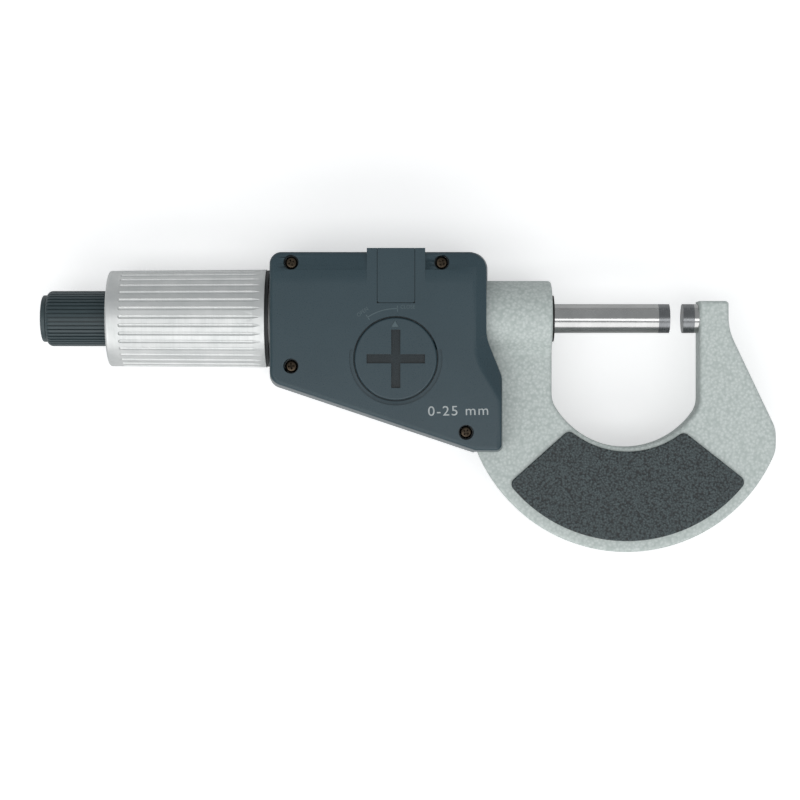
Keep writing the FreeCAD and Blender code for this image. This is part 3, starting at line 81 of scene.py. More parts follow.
# studio light: two long soft boxes over the bow's side, and an even room
lightBoxes = {
    # name: (angle from straight up towards the bow, distance, width, depth, radiance)
    "overheadBox": (11, 0.85, 1.10, 0.24, 2.1),
    "frontBox": (52, 0.85, 1.20, 0.60, 1.35),
}
roomLight = {"colour": (0.95, 0.98, 1.0, 1.0), "strength": 0.46, "seenStrength": 1.0}


def addLightBox(name, angle, distance, width, depth, radiance):
    turn = math.radians(angle)
    place = Vector((0, -math.sin(turn) * distance, math.cos(turn) * distance))
    bpy.ops.object.light_add(type="AREA", location=place, rotation=(turn, 0, 0))
    lamp = bpy.context.object
    lamp.name = name
    lamp.data.shape = "RECTANGLE"
    lamp.data.size = width
    lamp.data.size_y = depth
    lamp.data.energy = radiance * math.pi * width * depth
    lamp.visible_camera = False


for name, values in lightBoxes.items():
    addLightBox(name, *values)

# the room lights the part softly, and the camera sees it white
world = bpy.data.worlds.new("room")
bpy.context.scene.world = world
world.use_nodes = True
background = world.node_tree.nodes["Background"]
background.inputs["Color"].default_value = roomLight["colour"]
roomRays = world.node_tree.nodes.new("ShaderNodeLightPath")
roomSeen = world.node_tree.nodes.new("ShaderNodeMath")
roomSeen.operation = "MAXIMUM"
roomStrength = world.node_tree.nodes.new("ShaderNodeMapRange")
roomStrength.inputs["To Min"].default_value = roomLight["strength"]
roomStrength.inputs["To Max"].default_value = roomLight["seenStrength"]
world.node_tree.links.new(roomRays.outputs["Is Camera Ray"], roomSeen.inputs[0])
world.node_tree.links.new(roomRays.outputs["Is Transmission Ray"], roomSeen.inputs[1])
world.node_tree.links.new(roomSeen.outputs[0], roomStrength.inputs["Value"])
world.node_tree.links.new(roomStrength.outputs["Result"], background.inputs["Strength"])
print("camera and lights made")


# small modelling helpers
def clearSelection():
    if bpy.context.object and bpy.context.object.mode != "OBJECT":
        bpy.ops.object.mode_set(mode="OBJECT")
    bpy.ops.object.select_all(action="DESELECT")


def makeActive(piece):
    clearSelection()
    piece.select_set(True)
    bpy.context.view_layer.objects.active = piece


def named(name):
    piece = bpy.context.object
    piece.name = name
    piece.data.name = name
    return piece


def openFaces(piece, test):
    # leaves the piece in edit mode with the faces that pass the test selected
    makeActive(piece)
    bpy.ops.object.mode_set(mode="EDIT")
    bpy.ops.mesh.select_mode(type="FACE")
    bpy.ops.mesh.select_all(action="DESELECT")
    bpy.ops.object.mode_set(mode="OBJECT")
    for face in piece.data.polygons:
        face.select = test(face.center, face.normal)
    bpy.ops.object.mode_set(mode="EDIT")


def closeEdit():
    bpy.ops.object.mode_set(mode="OBJECT")


def setPlace(piece):
    makeActive(piece)
    bpy.ops.object.transform_apply(location=True, rotation=True, scale=True)
    return piece


def joined(pieces, name):
    clearSelection()
    for piece in pieces:
        piece.select_set(True)
    bpy.context.view_layer.objects.active = pieces[0]
    if len(pieces) > 1:
        bpy.ops.object.join()
    return named(name)


def applyModifiers(piece):
    makeActive(piece)
    for modifier in list(piece.modifiers):
        bpy.ops.object.modifier_apply(modifier=modifier.name)


def smoothed(piece, degrees):
    makeActive(piece)
    bpy.ops.object.shade_smooth_by_angle(angle=math.radians(degrees))
    return piece


def openAll(piece, weld):
    # leaves the piece in edit mode with all of it selected and its doubled points merged
    makeActive(piece)
    bpy.ops.object.mode_set(mode="EDIT")
    bpy.ops.mesh.select_all(action="SELECT")
    bpy.ops.mesh.remove_doubles(threshold=mm(weld))


def outwards(piece):
    openAll(piece, 0.001)
    bpy.ops.mesh.normals_make_consistent(inside=False)
    closeEdit()
    return piece


def combine(piece, other, operation):
    change = piece.modifiers.new("change", "BOOLEAN")
    change.operation = operation
    change.solver = "EXACT"
    change.object = other
    applyModifiers(piece)
    bpy.data.objects.remove(other)
    return piece


def lettering(name, text, size, thick, place, turn=(0, 0, 0), stretch=1.0, spacing=1.0):
    # raised or printed words, centred on their place
    clearSelection()
    bpy.ops.object.text_add(location=place, rotation=turn)
    words = bpy.context.object
    words.data.body = text
    words.data.size = mm(size)
    words.data.extrude = mm(thick) / 2
    words.data.align_x = "CENTER"
    words.data.align_y = "CENTER"
    words.data.space_character = spacing
    words.data.resolution_u = 4
    words.scale = (stretch, 1, 1)
    makeActive(words)
    bpy.ops.object.convert(target="MESH")
    return setPlace(named(name))


# floor: a wide pale sheet that curves up at its rim
floorSheet = {  # metres
    "radius": 1.3, "points": 96, "below": 0.00006,
    "rise": (0.02, 0.08, 0.18, 0.34, 0.60), "spread": (1.10, 1.07, 1.05, 1.035, 1.02),
    "smooth": 60,
    "tone": (0.86, 0.86, 0.86, 1), "roughness": 0.9, "glow": 0.46,
}
clearSelection()
bpy.ops.mesh.primitive_circle_add(vertices=floorSheet["points"], radius=floorSheet["radius"], fill_type="NGON",
                                  location=(0, 0, -floorSheet["below"]))
floor = named("floor")
makeActive(floor)
bpy.ops.object.mode_set(mode="EDIT")
bpy.ops.mesh.select_mode(type="EDGE")
bpy.ops.mesh.select_all(action="SELECT")
height = 0.0
for rise, spread in zip(floorSheet["rise"], floorSheet["spread"]):
    bpy.ops.mesh.extrude_edges_move(TRANSFORM_OT_translate={"value": (0, 0, rise - height)})
    bpy.ops.transform.resize(value=(spread, spread, 1), center_override=(0, 0, 0))
    height = rise
closeEdit()
outwards(floor)
setPlace(floor)
smoothed(floor, floorSheet["smooth"])
print("floor made")


# node groups that several finishes share
def newGroup(name, inputs, outputs):
    group = bpy.data.node_groups.new(name, "ShaderNodeTree")
    for label, kind, value in inputs:
        socket = group.interface.new_socket(name=label, in_out="INPUT", socket_type=kind)
        if value is not None:
            socket.default_value = value
    for label, kind in outputs:
        group.interface.new_socket(name=label, in_out="OUTPUT", socket_type=kind)
    entry = group.nodes.new("NodeGroupInput")
    leave = group.nodes.new("NodeGroupOutput")
    entry.location = (-900, 0)
    leave.location = (700, 0)
    return group, entry.outputs, leave.inputs


def addNode(tree, kind, place, values=None, **settings):
    node = tree.nodes.new(kind)
    node.location = place
    for key, value in settings.items():
        setattr(node, key, value)
    for key, value in (values or {}).items():
        node.inputs[key].default_value = value
    return node


def addNoise(tree, vector, scale, place, detail=3.0, rough=0.55):
    node = addNode(tree, "ShaderNodeTexNoise", place, {"Detail": detail, "Roughness": rough})
    tree.links.new(vector, node.inputs["Vector"])
    tree.links.new(scale, node.inputs["Scale"])
    return node.outputs["Fac"]


def addRange(tree, value, low, high, place):
    node = addNode(tree, "ShaderNodeMapRange", place, {"From Min": low, "From Max": high})
    tree.links.new(value, node.inputs["Value"])
    return node.outputs["Result"]


def addMath(tree, operation, first, second, place):
    node = addNode(tree, "ShaderNodeMath", place, operation=operation)
    for index, value in enumerate((first, second)):
        if isinstance(value, (int, float)):
            node.inputs[index].default_value = value
        else:
            tree.links.new(value, node.inputs[index])
    return node.outputs[0]


# two tones that drift into each other, and a height that goes with them
mottle, took, gives = newGroup(
    "mottle",
    [("Vector", "NodeSocketVector", None), ("Scale", "NodeSocketFloat", 100.0),
     ("Tone", "NodeSocketColor", None), ("Other Tone", "NodeSocketColor", None)],
    [("Color", "NodeSocketColor"), ("Mask", "NodeSocketFloat")],
)
clouds = addNoise(mottle, took["Vector"], took["Scale"], (-650, 100))
drift = addRange(mottle, clouds, 0.32, 0.68, (-400, 100))
tones = addNode(mottle, "ShaderNodeMix", (200, 0), data_type="RGBA")
mottle.links.new(drift, tones.inputs["Factor"])
mottle.links.new(took["Tone"], tones.inputs["A"])
mottle.links.new(took["Other Tone"], tones.inputs["B"])
mottle.links.new(tones.outputs["Result"], gives["Color"])
mottle.links.new(drift, gives["Mask"])

# fine grain of a moulded or sprayed surface
fineGrain, took, gives = newGroup(
    "fineGrain",
    [("Vector", "NodeSocketVector", None), ("Scale", "NodeSocketFloat", 3000.0)],
    [("Mask", "NodeSocketFloat"), ("Height", "NodeSocketFloat")],
)
coarse = addNoise(fineGrain, took["Vector"], took["Scale"], (-650, 150), 2.0)
doubled = addMath(fineGrain, "MULTIPLY", took["Scale"], 2.7, (-850, -250))
fine = addNoise(fineGrain, took["Vector"], doubled, (-650, -200), 1.0)
both = addMath(fineGrain, "ADD", coarse, fine, (-350, 0))
fineGrain.links.new(addRange(fineGrain, both, 0.7, 1.3, (0, 100)), gives["Mask"])
fineGrain.links.new(both, gives["Height"])

# lines left round a turned or ground piece, which lie across the spindle's axis
turnedLines, took, gives = newGroup(
    "turnedLines",
    [("Vector", "NodeSocketVector", None), ("Scale", "NodeSocketFloat", 6000.0)],
    [("Mask", "NodeSocketFloat"), ("Height", "NodeSocketFloat")],
)
stretch = addNode(turnedLines, "ShaderNodeMapping", (-750, 100), {"Scale": (1.0, 0.045, 0.045)})
turnedLines.links.new(took["Vector"], stretch.inputs["Vector"])
lines = addNoise(turnedLines, stretch.outputs["Vector"], took["Scale"], (-500, 100), 4.0, 0.7)
turnedLines.links.new(addRange(turnedLines, lines, 0.35, 0.65, (-150, 100)), gives["Mask"])
turnedLines.links.new(lines, gives["Height"])

# rounded blisters, as in a hammered enamel or a leather grain
blisters, took, gives = newGroup(
    "blisters",
    [("Vector", "NodeSocketVector", None), ("Scale", "NodeSocketFloat", 1000.0),
     ("Warp", "NodeSocketFloat", 0.0003)],
    [("Mask", "NodeSocketFloat"), ("Height", "NodeSocketFloat")],
)
warpNoise = addNode(blisters, "ShaderNodeTexNoise", (-900, -250), {"Detail": 2.0})
blisters.links.new(took["Vector"], warpNoise.inputs["Vector"])
blisters.links.new(took["Scale"], warpNoise.inputs["Scale"])
centred = addNode(blisters, "ShaderNodeVectorMath", (-700, -250), operation="SUBTRACT")
centred.inputs[1].default_value = (0.5, 0.5, 0.5)
blisters.links.new(warpNoise.outputs["Color"], centred.inputs[0])
pushed = addNode(blisters, "ShaderNodeVectorMath", (-500, -250), operation="SCALE")
blisters.links.new(centred.outputs["Vector"], pushed.inputs[0])
blisters.links.new(took["Warp"], pushed.inputs["Scale"])
moved = addNode(blisters, "ShaderNodeVectorMath", (-300, -100), operation="ADD")
blisters.links.new(took["Vector"], moved.inputs[0])
blisters.links.new(pushed.outputs["Vector"], moved.inputs[1])
cells = addNode(blisters, "ShaderNodeTexVoronoi", (-100, 0), {"Smoothness": 0.6}, feature="SMOOTH_F1")
blisters.links.new(moved.outputs["Vector"], cells.inputs["Vector"])
blisters.links.new(took["Scale"], cells.inputs["Scale"])
domes = addRange(blisters, cells.outputs["Distance"], 0.75, 0.1, (200, 0))
blisters.links.new(domes, gives["Mask"])
blisters.links.new(domes, gives["Height"])
print("node groups made")


# finishes: tones in 8-bit colours, bump in millimetres, scales per metre
def newFinish(name, metallic, roughness, bump, **sockets):
    material = bpy.data.materials.new(name)
    material.use_nodes = True
    tree = material.node_tree
    shader = tree.nodes["Principled BSDF"]
    shader.inputs["Metallic"].default_value = metallic
    shader.inputs["Roughness"].default_value = roughness
    for key, value in sockets.items():
        shader.inputs[key.replace("_", " ")].default_value = value
    place = addNode(tree, "ShaderNodeTexCoord", (-1200, 0)).outputs["Object"]
    raised = addNode(tree, "ShaderNodeBump", (-250, -250), {"Strength": 1.0, "Distance": mm(bump)})
    tree.links.new(raised.outputs["Normal"], shader.inputs["Normal"])
    return material, tree, shader, place, raised


def addGroup(tree, group, place, vector, **values):
    node = tree.nodes.new("ShaderNodeGroup")
    node.node_tree = group
    node.location = place
    node.width = 180
    for key, value in values.items():
        node.inputs[key.replace("_", " ")].default_value = value
    tree.links.new(vector, node.inputs["Vector"])
    return node.outputs


def roughBetween(tree, shader, mask, low, high):
    spread = addNode(tree, "ShaderNodeMapRange", (-250, 100), {"To Min": low, "To Max": high})
    tree.links.new(mask, spread.inputs["Value"])
    tree.links.new(spread.outputs["Result"], shader.inputs["Roughness"])


def addTones(tree, place, shader, scale, tone, otherTone):
    colour = addGroup(tree, mottle, (-700, 250), place, Scale=scale,
                      Tone=shade(*tone), Other_Tone=shade(*otherTone))
    tree.links.new(colour["Color"], shader.inputs["Base Color"])


def moulded(name, tone, otherTone, drift, grain, roughness, bump=0.01):
    # moulded plastic or rubber: drifting tone, fine spark-eroded grain
    material, tree, shader, place, raised = newFinish(name, 0.0, roughness[0], bump)
    addTones(tree, place, shader, drift, tone, otherTone)
    speck = addGroup(tree, fineGrain, (-700, -150), place, Scale=grain)
    tree.links.new(speck["Height"], raised.inputs["Height"])
    roughBetween(tree, shader, speck["Mask"], *roughness)
    return material


def turnedMetal(name, tone, otherTone, lines, roughness, bump=0.004):
    # metal with tool or grinding lines round the spindle's axis
    material, tree, shader, place, raised = newFinish(name, 1.0, roughness[0], bump)
    cut = addGroup(tree, turnedLines, (-900, -150), place, Scale=lines)
    addTones(tree, place, shader, 240.0, tone, otherTone)
    tree.links.new(cut["Height"], raised.inputs["Height"])
    roughBetween(tree, shader, cut["Mask"], *roughness)
    return material


def blistered(name, tone, otherTone, cell, warp, grain, roughness, bump):
    # enamel or leather: cells whose tone goes with their height
    material, tree, shader, place, raised = newFinish(name, 0.0, roughness[0], bump)
    bubble = addGroup(tree, blisters, (-950, 0), place, Scale=cell, Warp=warp)
    speck = addGroup(tree, fineGrain, (-950, -250), place, Scale=grain)
    blend = addMath(tree, "MULTIPLY_ADD", speck["Height"], 0.25, (-700, -200))
    tree.links.new(bubble["Height"], blend.node.inputs[2])
    tones = addNode(tree, "ShaderNodeMix", (-450, 250), data_type="RGBA")
    tones.inputs["A"].default_value = shade(*tone)
    tones.inputs["B"].default_value = shade(*otherTone)
    tree.links.new(bubble["Mask"], tones.inputs["Factor"])
    tree.links.new(tones.outputs["Result"], shader.inputs["Base Color"])
    tree.links.new(blend, raised.inputs["Height"])
    roughBetween(tree, shader, bubble["Mask"], *roughness)
    return material


finishes = {
    "housing": moulded("housingPlastic", tone=(46, 66, 74), otherTone=(50, 70, 78),
                       drift=60.0, grain=4200.0, roughness=(0.26, 0.34), bump=0.004),
    "hammered": blistered("hammeredEnamel", tone=(184, 194, 190), otherTone=(214, 221, 218), cell=1500.0,
                          warp=0.0006, grain=5200.0, roughness=(0.45, 0.58), bump=0.02),
    "grip": blistered("gripLeather", tone=(10, 19, 22), otherTone=(84, 97, 99), cell=2300.0,
                      warp=0.0005, grain=5200.0, roughness=(0.36, 0.6), bump=0.08),
    "blackPlastic": moulded("blackPlastic", tone=(22, 25, 27), otherTone=(27, 30, 32),
                            drift=90.0, grain=6000.0, roughness=(0.42, 0.55)),
    "rubber": moulded("blackRubber", tone=(20, 21, 22), otherTone=(27, 28, 28),
                      drift=120.0, grain=5000.0, roughness=(0.62, 0.75)),
    "knob": moulded("knobPlastic", tone=(52, 66, 70), otherTone=(58, 73, 77),
                    drift=90.0, grain=6000.0, roughness=(0.36, 0.46)),
    "button": moulded("buttonPlastic", tone=(196, 198, 196), otherTone=(205, 206, 203),
                      drift=90.0, grain=6000.0, roughness=(0.42, 0.5)),
    "board": moulded("boardGreen", tone=(24, 66, 42), otherTone=(31, 78, 50),
                     drift=160.0, grain=2600.0, roughness=(0.35, 0.5)),
    "lcd": moulded("displayGlass", tone=(150, 158, 142), otherTone=(156, 164, 148),
                   drift=60.0, grain=5000.0, roughness=(0.18, 0.24), bump=0.001),
    "ink": moulded("displayInk", tone=(22, 24, 26), otherTone=(28, 30, 32),
                   drift=200.0, grain=6000.0, roughness=(0.4, 0.5), bump=0.001),
    "print": moulded("printedGrey", tone=(188, 194, 194), otherTone=(170, 177, 178),
                     drift=900.0, grain=6000.0, roughness=(0.5, 0.6), bump=0.002),
    "whitePrint": moulded("printedWhite", tone=(220, 222, 222), otherTone=(205, 208, 208),
                          drift=900.0, grain=6000.0, roughness=(0.5, 0.6), bump=0.002),
    "mark": moulded("mouldedMark", tone=(76, 94, 100), otherTone=(84, 102, 108),
                    drift=60.0, grain=5200.0, roughness=(0.4, 0.5), bump=0.006),
    "thimble": turnedMetal("satinAluminium", tone=(218, 220, 219), otherTone=(228, 229, 228),
                           lines=2600.0, roughness=(0.48, 0.6)),
    "spindle": turnedMetal("groundSteel", tone=(180, 180, 179), otherTone=(190, 190, 189),
                           lines=9000.0, roughness=(0.12, 0.2), bump=0.0004),
    "carbide": turnedMetal("carbide", tone=(120, 122, 124), otherTone=(132, 134, 136),
                           lines=9000.0, roughness=(0.22, 0.32), bump=0.001),
    "steel": turnedMetal("plainSteel", tone=(150, 151, 152), otherTone=(166, 167, 167),
                         lines=4200.0, roughness=(0.28, 0.4), bump=0.002),
    "darkSteel": turnedMetal("burnishedSteel", tone=(36, 31, 26), otherTone=(86, 76, 64),
                             lines=2600.0, roughness=(0.2, 0.32), bump=0.003),
    "brass": turnedMetal("contactMetal", tone=(190, 176, 130), otherTone=(202, 188, 142),
                         lines=3000.0, roughness=(0.25, 0.35), bump=0.002),
    "cell": turnedMetal("cellSteel", tone=(170, 172, 174), otherTone=(184, 186, 188),
                        lines=2200.0, roughness=(0.2, 0.3), bump=0.002),
}


def clearFinish(name, tone, otherTone, drift, grain, roughness, bump, bending):
    # hard clear plastic with a faint polish haze
    material, tree, shader, place, raised = newFinish(name, 0.0, roughness[0], bump,
                                                      Transmission_Weight=1.0, IOR=bending)
    haze = addGroup(tree, fineGrain, (-700, -150), place, Scale=grain)
    addTones(tree, place, shader, drift, tone, otherTone)
    tree.links.new(haze["Height"], raised.inputs["Height"])
    roughBetween(tree, shader, haze["Mask"], *roughness)
    return material


# painted shade: heights and a darker tone that stand in for the shade down in the battery cover's coin slot
slotPaintedShade = {"floor": 11.4, "top": 12.3, "tone": (12, 30, 36)}  # heights between which the tone goes over


def lidPlasticWithSlotShade():
    # the housing's plastic, with painted shade making it darker down in the coin slot
    material = finishes["housing"].copy()
    material.name = "lidPlasticWithSlotShade"
    tree = material.node_tree
    shader = tree.nodes["Principled BSDF"]
    colour = shader.inputs["Base Color"].links[0].from_socket
    place = next(node for node in tree.nodes if node.type == "TEX_COORD").outputs["Object"]
    apart = addNode(tree, "ShaderNodeSeparateXYZ", (-900, 500))
    tree.links.new(place, apart.inputs[0])
    low, high = (mm(axisPlace[2] + slotPaintedShade[key]) for key in ("floor", "top"))
    depth = addRange(tree, apart.outputs["Z"], low, high, (-700, 500))
    # painted shade: below the slot's top the colour goes over to the darker shade tone
    tones = addNode(tree, "ShaderNodeMix", (-350, 450), data_type="RGBA")
    tones.inputs["A"].default_value = shade(*slotPaintedShade["tone"])
    tree.links.new(depth, tones.inputs["Factor"])
    tree.links.new(colour, tones.inputs["B"])
    tree.links.new(tones.outputs["Result"], shader.inputs["Base Color"])
    return material


finishes["lid"] = lidPlasticWithSlotShade()
finishes["window"] = clearFinish("windowClear", tone=(240, 244, 246), otherTone=(250, 251, 252), drift=80.0,
                                 grain=900.0, roughness=(0.02, 0.05), bump=0.0005, bending=1.49)


def paperFloor():
    # diffuse paper that camera and glass rays see as white, with the object's shadow left on it
    material = bpy.data.materials.new("floorPaper")
    material.use_nodes = True
    tree = material.node_tree
    shader = tree.nodes["Principled BSDF"]
    shader.inputs["Base Color"].default_value = floorSheet["tone"]
    shader.inputs["Roughness"].default_value = floorSheet["roughness"]
    shader.inputs["Specular IOR Level"].default_value = 0.0
    rays = addNode(tree, "ShaderNodeLightPath", (-700, 200))
    seen = addMath(tree, "MAXIMUM", rays.outputs["Is Camera Ray"], rays.outputs["Is Transmission Ray"],
                   (-350, 200))
    glow = addNode(tree, "ShaderNodeEmission", (0, 300),
                   {"Color": (1, 1, 1, 1), "Strength": floorSheet["glow"]})
    none = addNode(tree, "ShaderNodeEmission", (0, 150), {"Color": (0, 0, 0, 1), "Strength": 0.0})
    pick = addNode(tree, "ShaderNodeMixShader", (200, 250))
    total = addNode(tree, "ShaderNodeAddShader", (400, 100))
    tree.links.new(seen, pick.inputs[0])
    tree.links.new(none.outputs[0], pick.inputs[1])
    tree.links.new(glow.outputs[0], pick.inputs[2])
    tree.links.new(shader.outputs[0], total.inputs[0])
    tree.links.new(pick.outputs[0], total.inputs[1])
    tree.links.new(total.outputs[0], tree.nodes["Material Output"].inputs["Surface"])
    return material


floor.data.materials.append(paperFloor())

nodeFinish = {
    "housing": ["rear_cover", "front_cover", "port_cover", "clamp_lever"],
    "lid": ["battery_cover"],
    "hammered": ["frame"],
    "grip": ["rear_grip_plate", "front_grip_plate"],
    "thimble": ["thimble", "outer_sleeve"],
    "blackPlastic": ["thimble_ring", "port_socket", "lcd_holder", "encoder_rotor"],
    "rubber": ["spindle_wiper", "battery_seal", "lcd_connector", "keypad"],
    "knob": ["ratchet_knob", "knob_cap"],
    "button": ["button_1", "button_2", "button_3"],
    "board": ["circuit_board", "encoder_stator"],
    "lcd": ["lcd_glass"],
    "window": ["display_window"],
    "spindle": ["spindle", "anvil"],
    "carbide": ["spindle_tip", "anvil_tip"],
    "steel": ["inner_sleeve", "adjusting_nut", "thimble_bush", "ratchet_ring", "ratchet_pawl",
              "ratchet_screw", "ratchet_spring", "clamp_shaft"],
    "darkSteel": ["cover_screws"],
    "brass": ["battery_contact_plus", "battery_contact_minus", "port_pins"],
    "cell": ["battery"],
}
for finish, names in nodeFinish.items():
    for name in names:
        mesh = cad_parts[name].data
        mesh.materials.clear()
        mesh.materials.append(finishes[finish])
print("finishes given to", sum(len(names) for names in nodeFinish.values()), "nodes")


def finished(piece, finish, body):
    piece.data.materials.clear()
    piece.data.materials.append(finishes[finish])
    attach(piece, body)
    return piece


# rear cover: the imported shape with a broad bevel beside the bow
coverBevel = {
    "face": 12.6,
    "steps": [(15, 0.55), (30, 0.0)],  # slope in degrees, crease moved in by
    "upperX": -46.8, "bendY": -8.4, "slant": 28, "lowerX": -41.3,  # straight crease, bend, slanting crease
    "bend": 3.6, "bendSteps": 8,
    "reach": 45.0, "tall": 20.0,  # half width and height of the cutting blocks
    "weld": 0.002, "lastWeld": 0.004, "flat": 0.4, "smooth": 24, "flatWeight": 90,
}


def nodeCopy(node, name):
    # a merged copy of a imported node, which itself stays as it is
    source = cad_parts[node]
    piece = bpy.data.objects.new(name, source.data.copy())
    piece.matrix_world = source.matrix_world
    bpy.context.scene.collection.objects.link(piece)
    setPlace(piece)
    openAll(piece, coverBevel["weld"])
    closeEdit()
    return piece


def slopedBlock(x, y, heading, slope):
    # a block whose underside falls towards the heading, from a line through the given place
    clearSelection()
    bpy.ops.mesh.primitive_cube_add(size=1)
    cutter = named("coverCutter")
    cutter.scale = (mm(coverBevel["reach"] * 2), mm(coverBevel["reach"] * 2), mm(coverBevel["tall"]))
    setPlace(cutter)
    openFaces(cutter, lambda centre, normal: True)
    bpy.ops.transform.translate(value=(0, 0, mm(coverBevel["tall"]) / 2))
    closeEdit()
    cutter.rotation_euler = (0, math.radians(slope), math.radians(heading))
    cutter.location = at(x, y, coverBevel["face"])
    return setPlace(cutter)


def roundBend(cutter):
    # rounds the edge in which the two undersides meet
    makeActive(cutter)
    down = {}
    for face in cutter.data.polygons:
        if face.normal.z < -0.5:
            for key in face.edge_keys:
                down[key] = down.get(key, 0) + 1
    bpy.ops.object.mode_set(mode="EDIT")
    bpy.ops.mesh.select_mode(type="EDGE")
    bpy.ops.mesh.select_all(action="DESELECT")
    bpy.ops.object.mode_set(mode="OBJECT")
    for edge in cutter.data.edges:
        edge.select = down.get(edge.key, 0) == 2
    bpy.ops.object.mode_set(mode="EDIT")
    bpy.ops.mesh.bevel(offset=mm(coverBevel["bend"]), segments=coverBevel["bendSteps"], affect="EDGES")
    closeEdit()


rearSkin = nodeCopy("rear_cover", "rearSkin")
for slope, inset in coverBevel["steps"]:
    bendX, lowerX, bendY = coverBevel["upperX"] - inset, coverBevel["lowerX"] - inset, coverBevel["bendY"]
    upper = slopedBlock(bendX, bendY, 0, slope)
    combine(upper, slopedBlock(bendX, bendY, coverBevel["slant"], slope), "INTERSECT")
    roundBend(upper)
    combine(rearSkin, upper, "DIFFERENCE")
    combine(rearSkin, slopedBlock(lowerX, bendY, 0, slope), "DIFFERENCE")
openAll(rearSkin, coverBevel["lastWeld"])
bpy.ops.mesh.dissolve_limited(angle_limit=math.radians(coverBevel["flat"]))
closeEdit()
smoothed(rearSkin, coverBevel["smooth"])
evened = rearSkin.modifiers.new("evened", "WEIGHTED_NORMAL")
evened.keep_sharp = True
evened.weight = coverBevel["flatWeight"]
applyModifiers(rearSkin)
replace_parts(finished(rearSkin, "housing", "root"), "rear_cover")
print("rear cover made,", len(rearSkin.data.polygons), "faces")

# cover screws: pan heads with a cross recess
coverScrew = {
    "headRadius": 1.35, "headHeight": 1.5, "seat": 9.4, "sides": 40, "dome": 0.42, "domeSteps": 5,
    "shankRadius": 0.9, "shankLength": 17.0, "tip": 0.5, "tipTaper": 0.6,
    "recessWidth": 0.5, "recessLength": 1.9, "recessDepth": 1.0, "recessTaper": 0.45,
    "smooth": 40,
    # x, y, turned by
    "places": [(-86.6, 11.8, 24), (-53.8, 11.8, -31), (-86.6, -10.8, 8), (-48.5, -25.2, 52)],
}


def crossCutter(top):
    # two tapered blades, a little higher than the head
    blades = []
    length, width, depth = (mm(coverScrew[key]) for key in ("recessLength", "recessWidth", "recessDepth"))
    taper = coverScrew["recessTaper"]
    for angle in (0, 90):
        clearSelection()
        bpy.ops.mesh.primitive_cube_add(size=1, location=(0, 0, top), rotation=(0, 0, math.radians(angle)))
        blade = bpy.context.object
        blade.scale = (length, width, depth * 2)
        setPlace(blade)
        openFaces(blade, lambda centre, normal: normal.z < -0.9)
        bpy.ops.transform.resize(value=(taper, taper, 1), center_override=(0, 0, top - depth))
        closeEdit()
        blades.append(blade)
    return blades


def makeScrew():
    half = mm(coverScrew["headHeight"]) / 2
    tip, taper = coverScrew["tip"], coverScrew["tipTaper"]
    clearSelection()
    bpy.ops.mesh.primitive_cylinder_add(vertices=coverScrew["sides"], radius=mm(coverScrew["headRadius"]),
                                        depth=half * 2, location=(0, 0, half))
    screw = setPlace(named("coverScrew"))
    openFaces(screw, lambda centre, normal: normal.z > 0.9)
    bpy.ops.mesh.bevel(offset=mm(coverScrew["dome"]), segments=coverScrew["domeSteps"], profile=0.5,
                       affect="EDGES")
    closeEdit()
    openFaces(screw, lambda centre, normal: normal.z < -0.9)
    bpy.ops.mesh.inset(thickness=mm(coverScrew["headRadius"] - coverScrew["shankRadius"]))
    for length in (coverScrew["shankLength"] - tip, tip):
        bpy.ops.mesh.extrude_region_move(TRANSFORM_OT_translate={"value": (0, 0, -mm(length))})
    bpy.ops.transform.resize(value=(taper, taper, 1), center_override=(0, 0, 0))
    closeEdit()
    for blade in crossCutter(half * 2):
        combine(screw, blade, "DIFFERENCE")
    return screw


firstScrew = makeScrew()
screwCopies = []
for x, y, turned in coverScrew["places"]:
    makeActive(firstScrew)
    bpy.ops.object.duplicate(linked=False)
    copy = bpy.context.object
    copy.location = at(x, y, coverScrew["seat"])
    copy.rotation_euler = (0, 0, math.radians(turned))
    screwCopies.append(setPlace(copy))
bpy.data.objects.remove(firstScrew)
coverScrews = smoothed(joined(screwCopies, "crossScrews"), coverScrew["smooth"])
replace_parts(finished(coverScrews, "darkSteel", "root"), "cover_screws")
print("cover screws made")

# marks on the rear cover and the battery cover
rearMarks = {
    "face": 12.6, "thick": 0.06, "sunk": 0.01, "battery": (-63.8, -9.2),
    "arcRadius": 10.9, "arcWidth": 0.2, "arcFrom": 88, "arcTo": 124, "arcSteps": 24,
    "tick": 1.3, "tickRim": 0.04,
    # x, y, turned by
    "words": {"openWord": ("OPEN", -71.0, 0.95, 36), "closeWord": ("CLOSE", -61.2, 2.05, 0)},
    "wordSize": 1.2, "wordStretch": 0.9, "wordLift": 0.005,
}
rangeMark = {"text": "0-25 mm", "place": (-50.2, -20.6), "size": 3.0, "thick": 0.02, "turn": 1.0,
             "stretch": 1.08, "spacing": 1.16}


def arcStrip(name, centre, radius, width, first, last, low, thick):
    # a flat strip spun about the centre, from the first angle to the last
    start = math.radians(first)
    clearSelection()
    bpy.ops.mesh.primitive_plane_add(size=1, rotation=(math.pi / 2, 0, 0))
    strip = named(name)
    strip.scale = (mm(width), mm(thick), 1)
    setPlace(strip)
    strip.rotation_euler = (0, 0, start)
    outward = Vector((math.cos(start), math.sin(start), 0))
    strip.location = centre + outward * mm(radius) + Vector((0, 0, mm(low)))
    setPlace(strip)
    openFaces(strip, lambda middle, normal: True)
    bpy.ops.mesh.spin(steps=rearMarks["arcSteps"], angle=-math.radians(last - first), center=centre,
                      axis=(0, 0, 1))
    closeEdit()
    return outwards(strip)


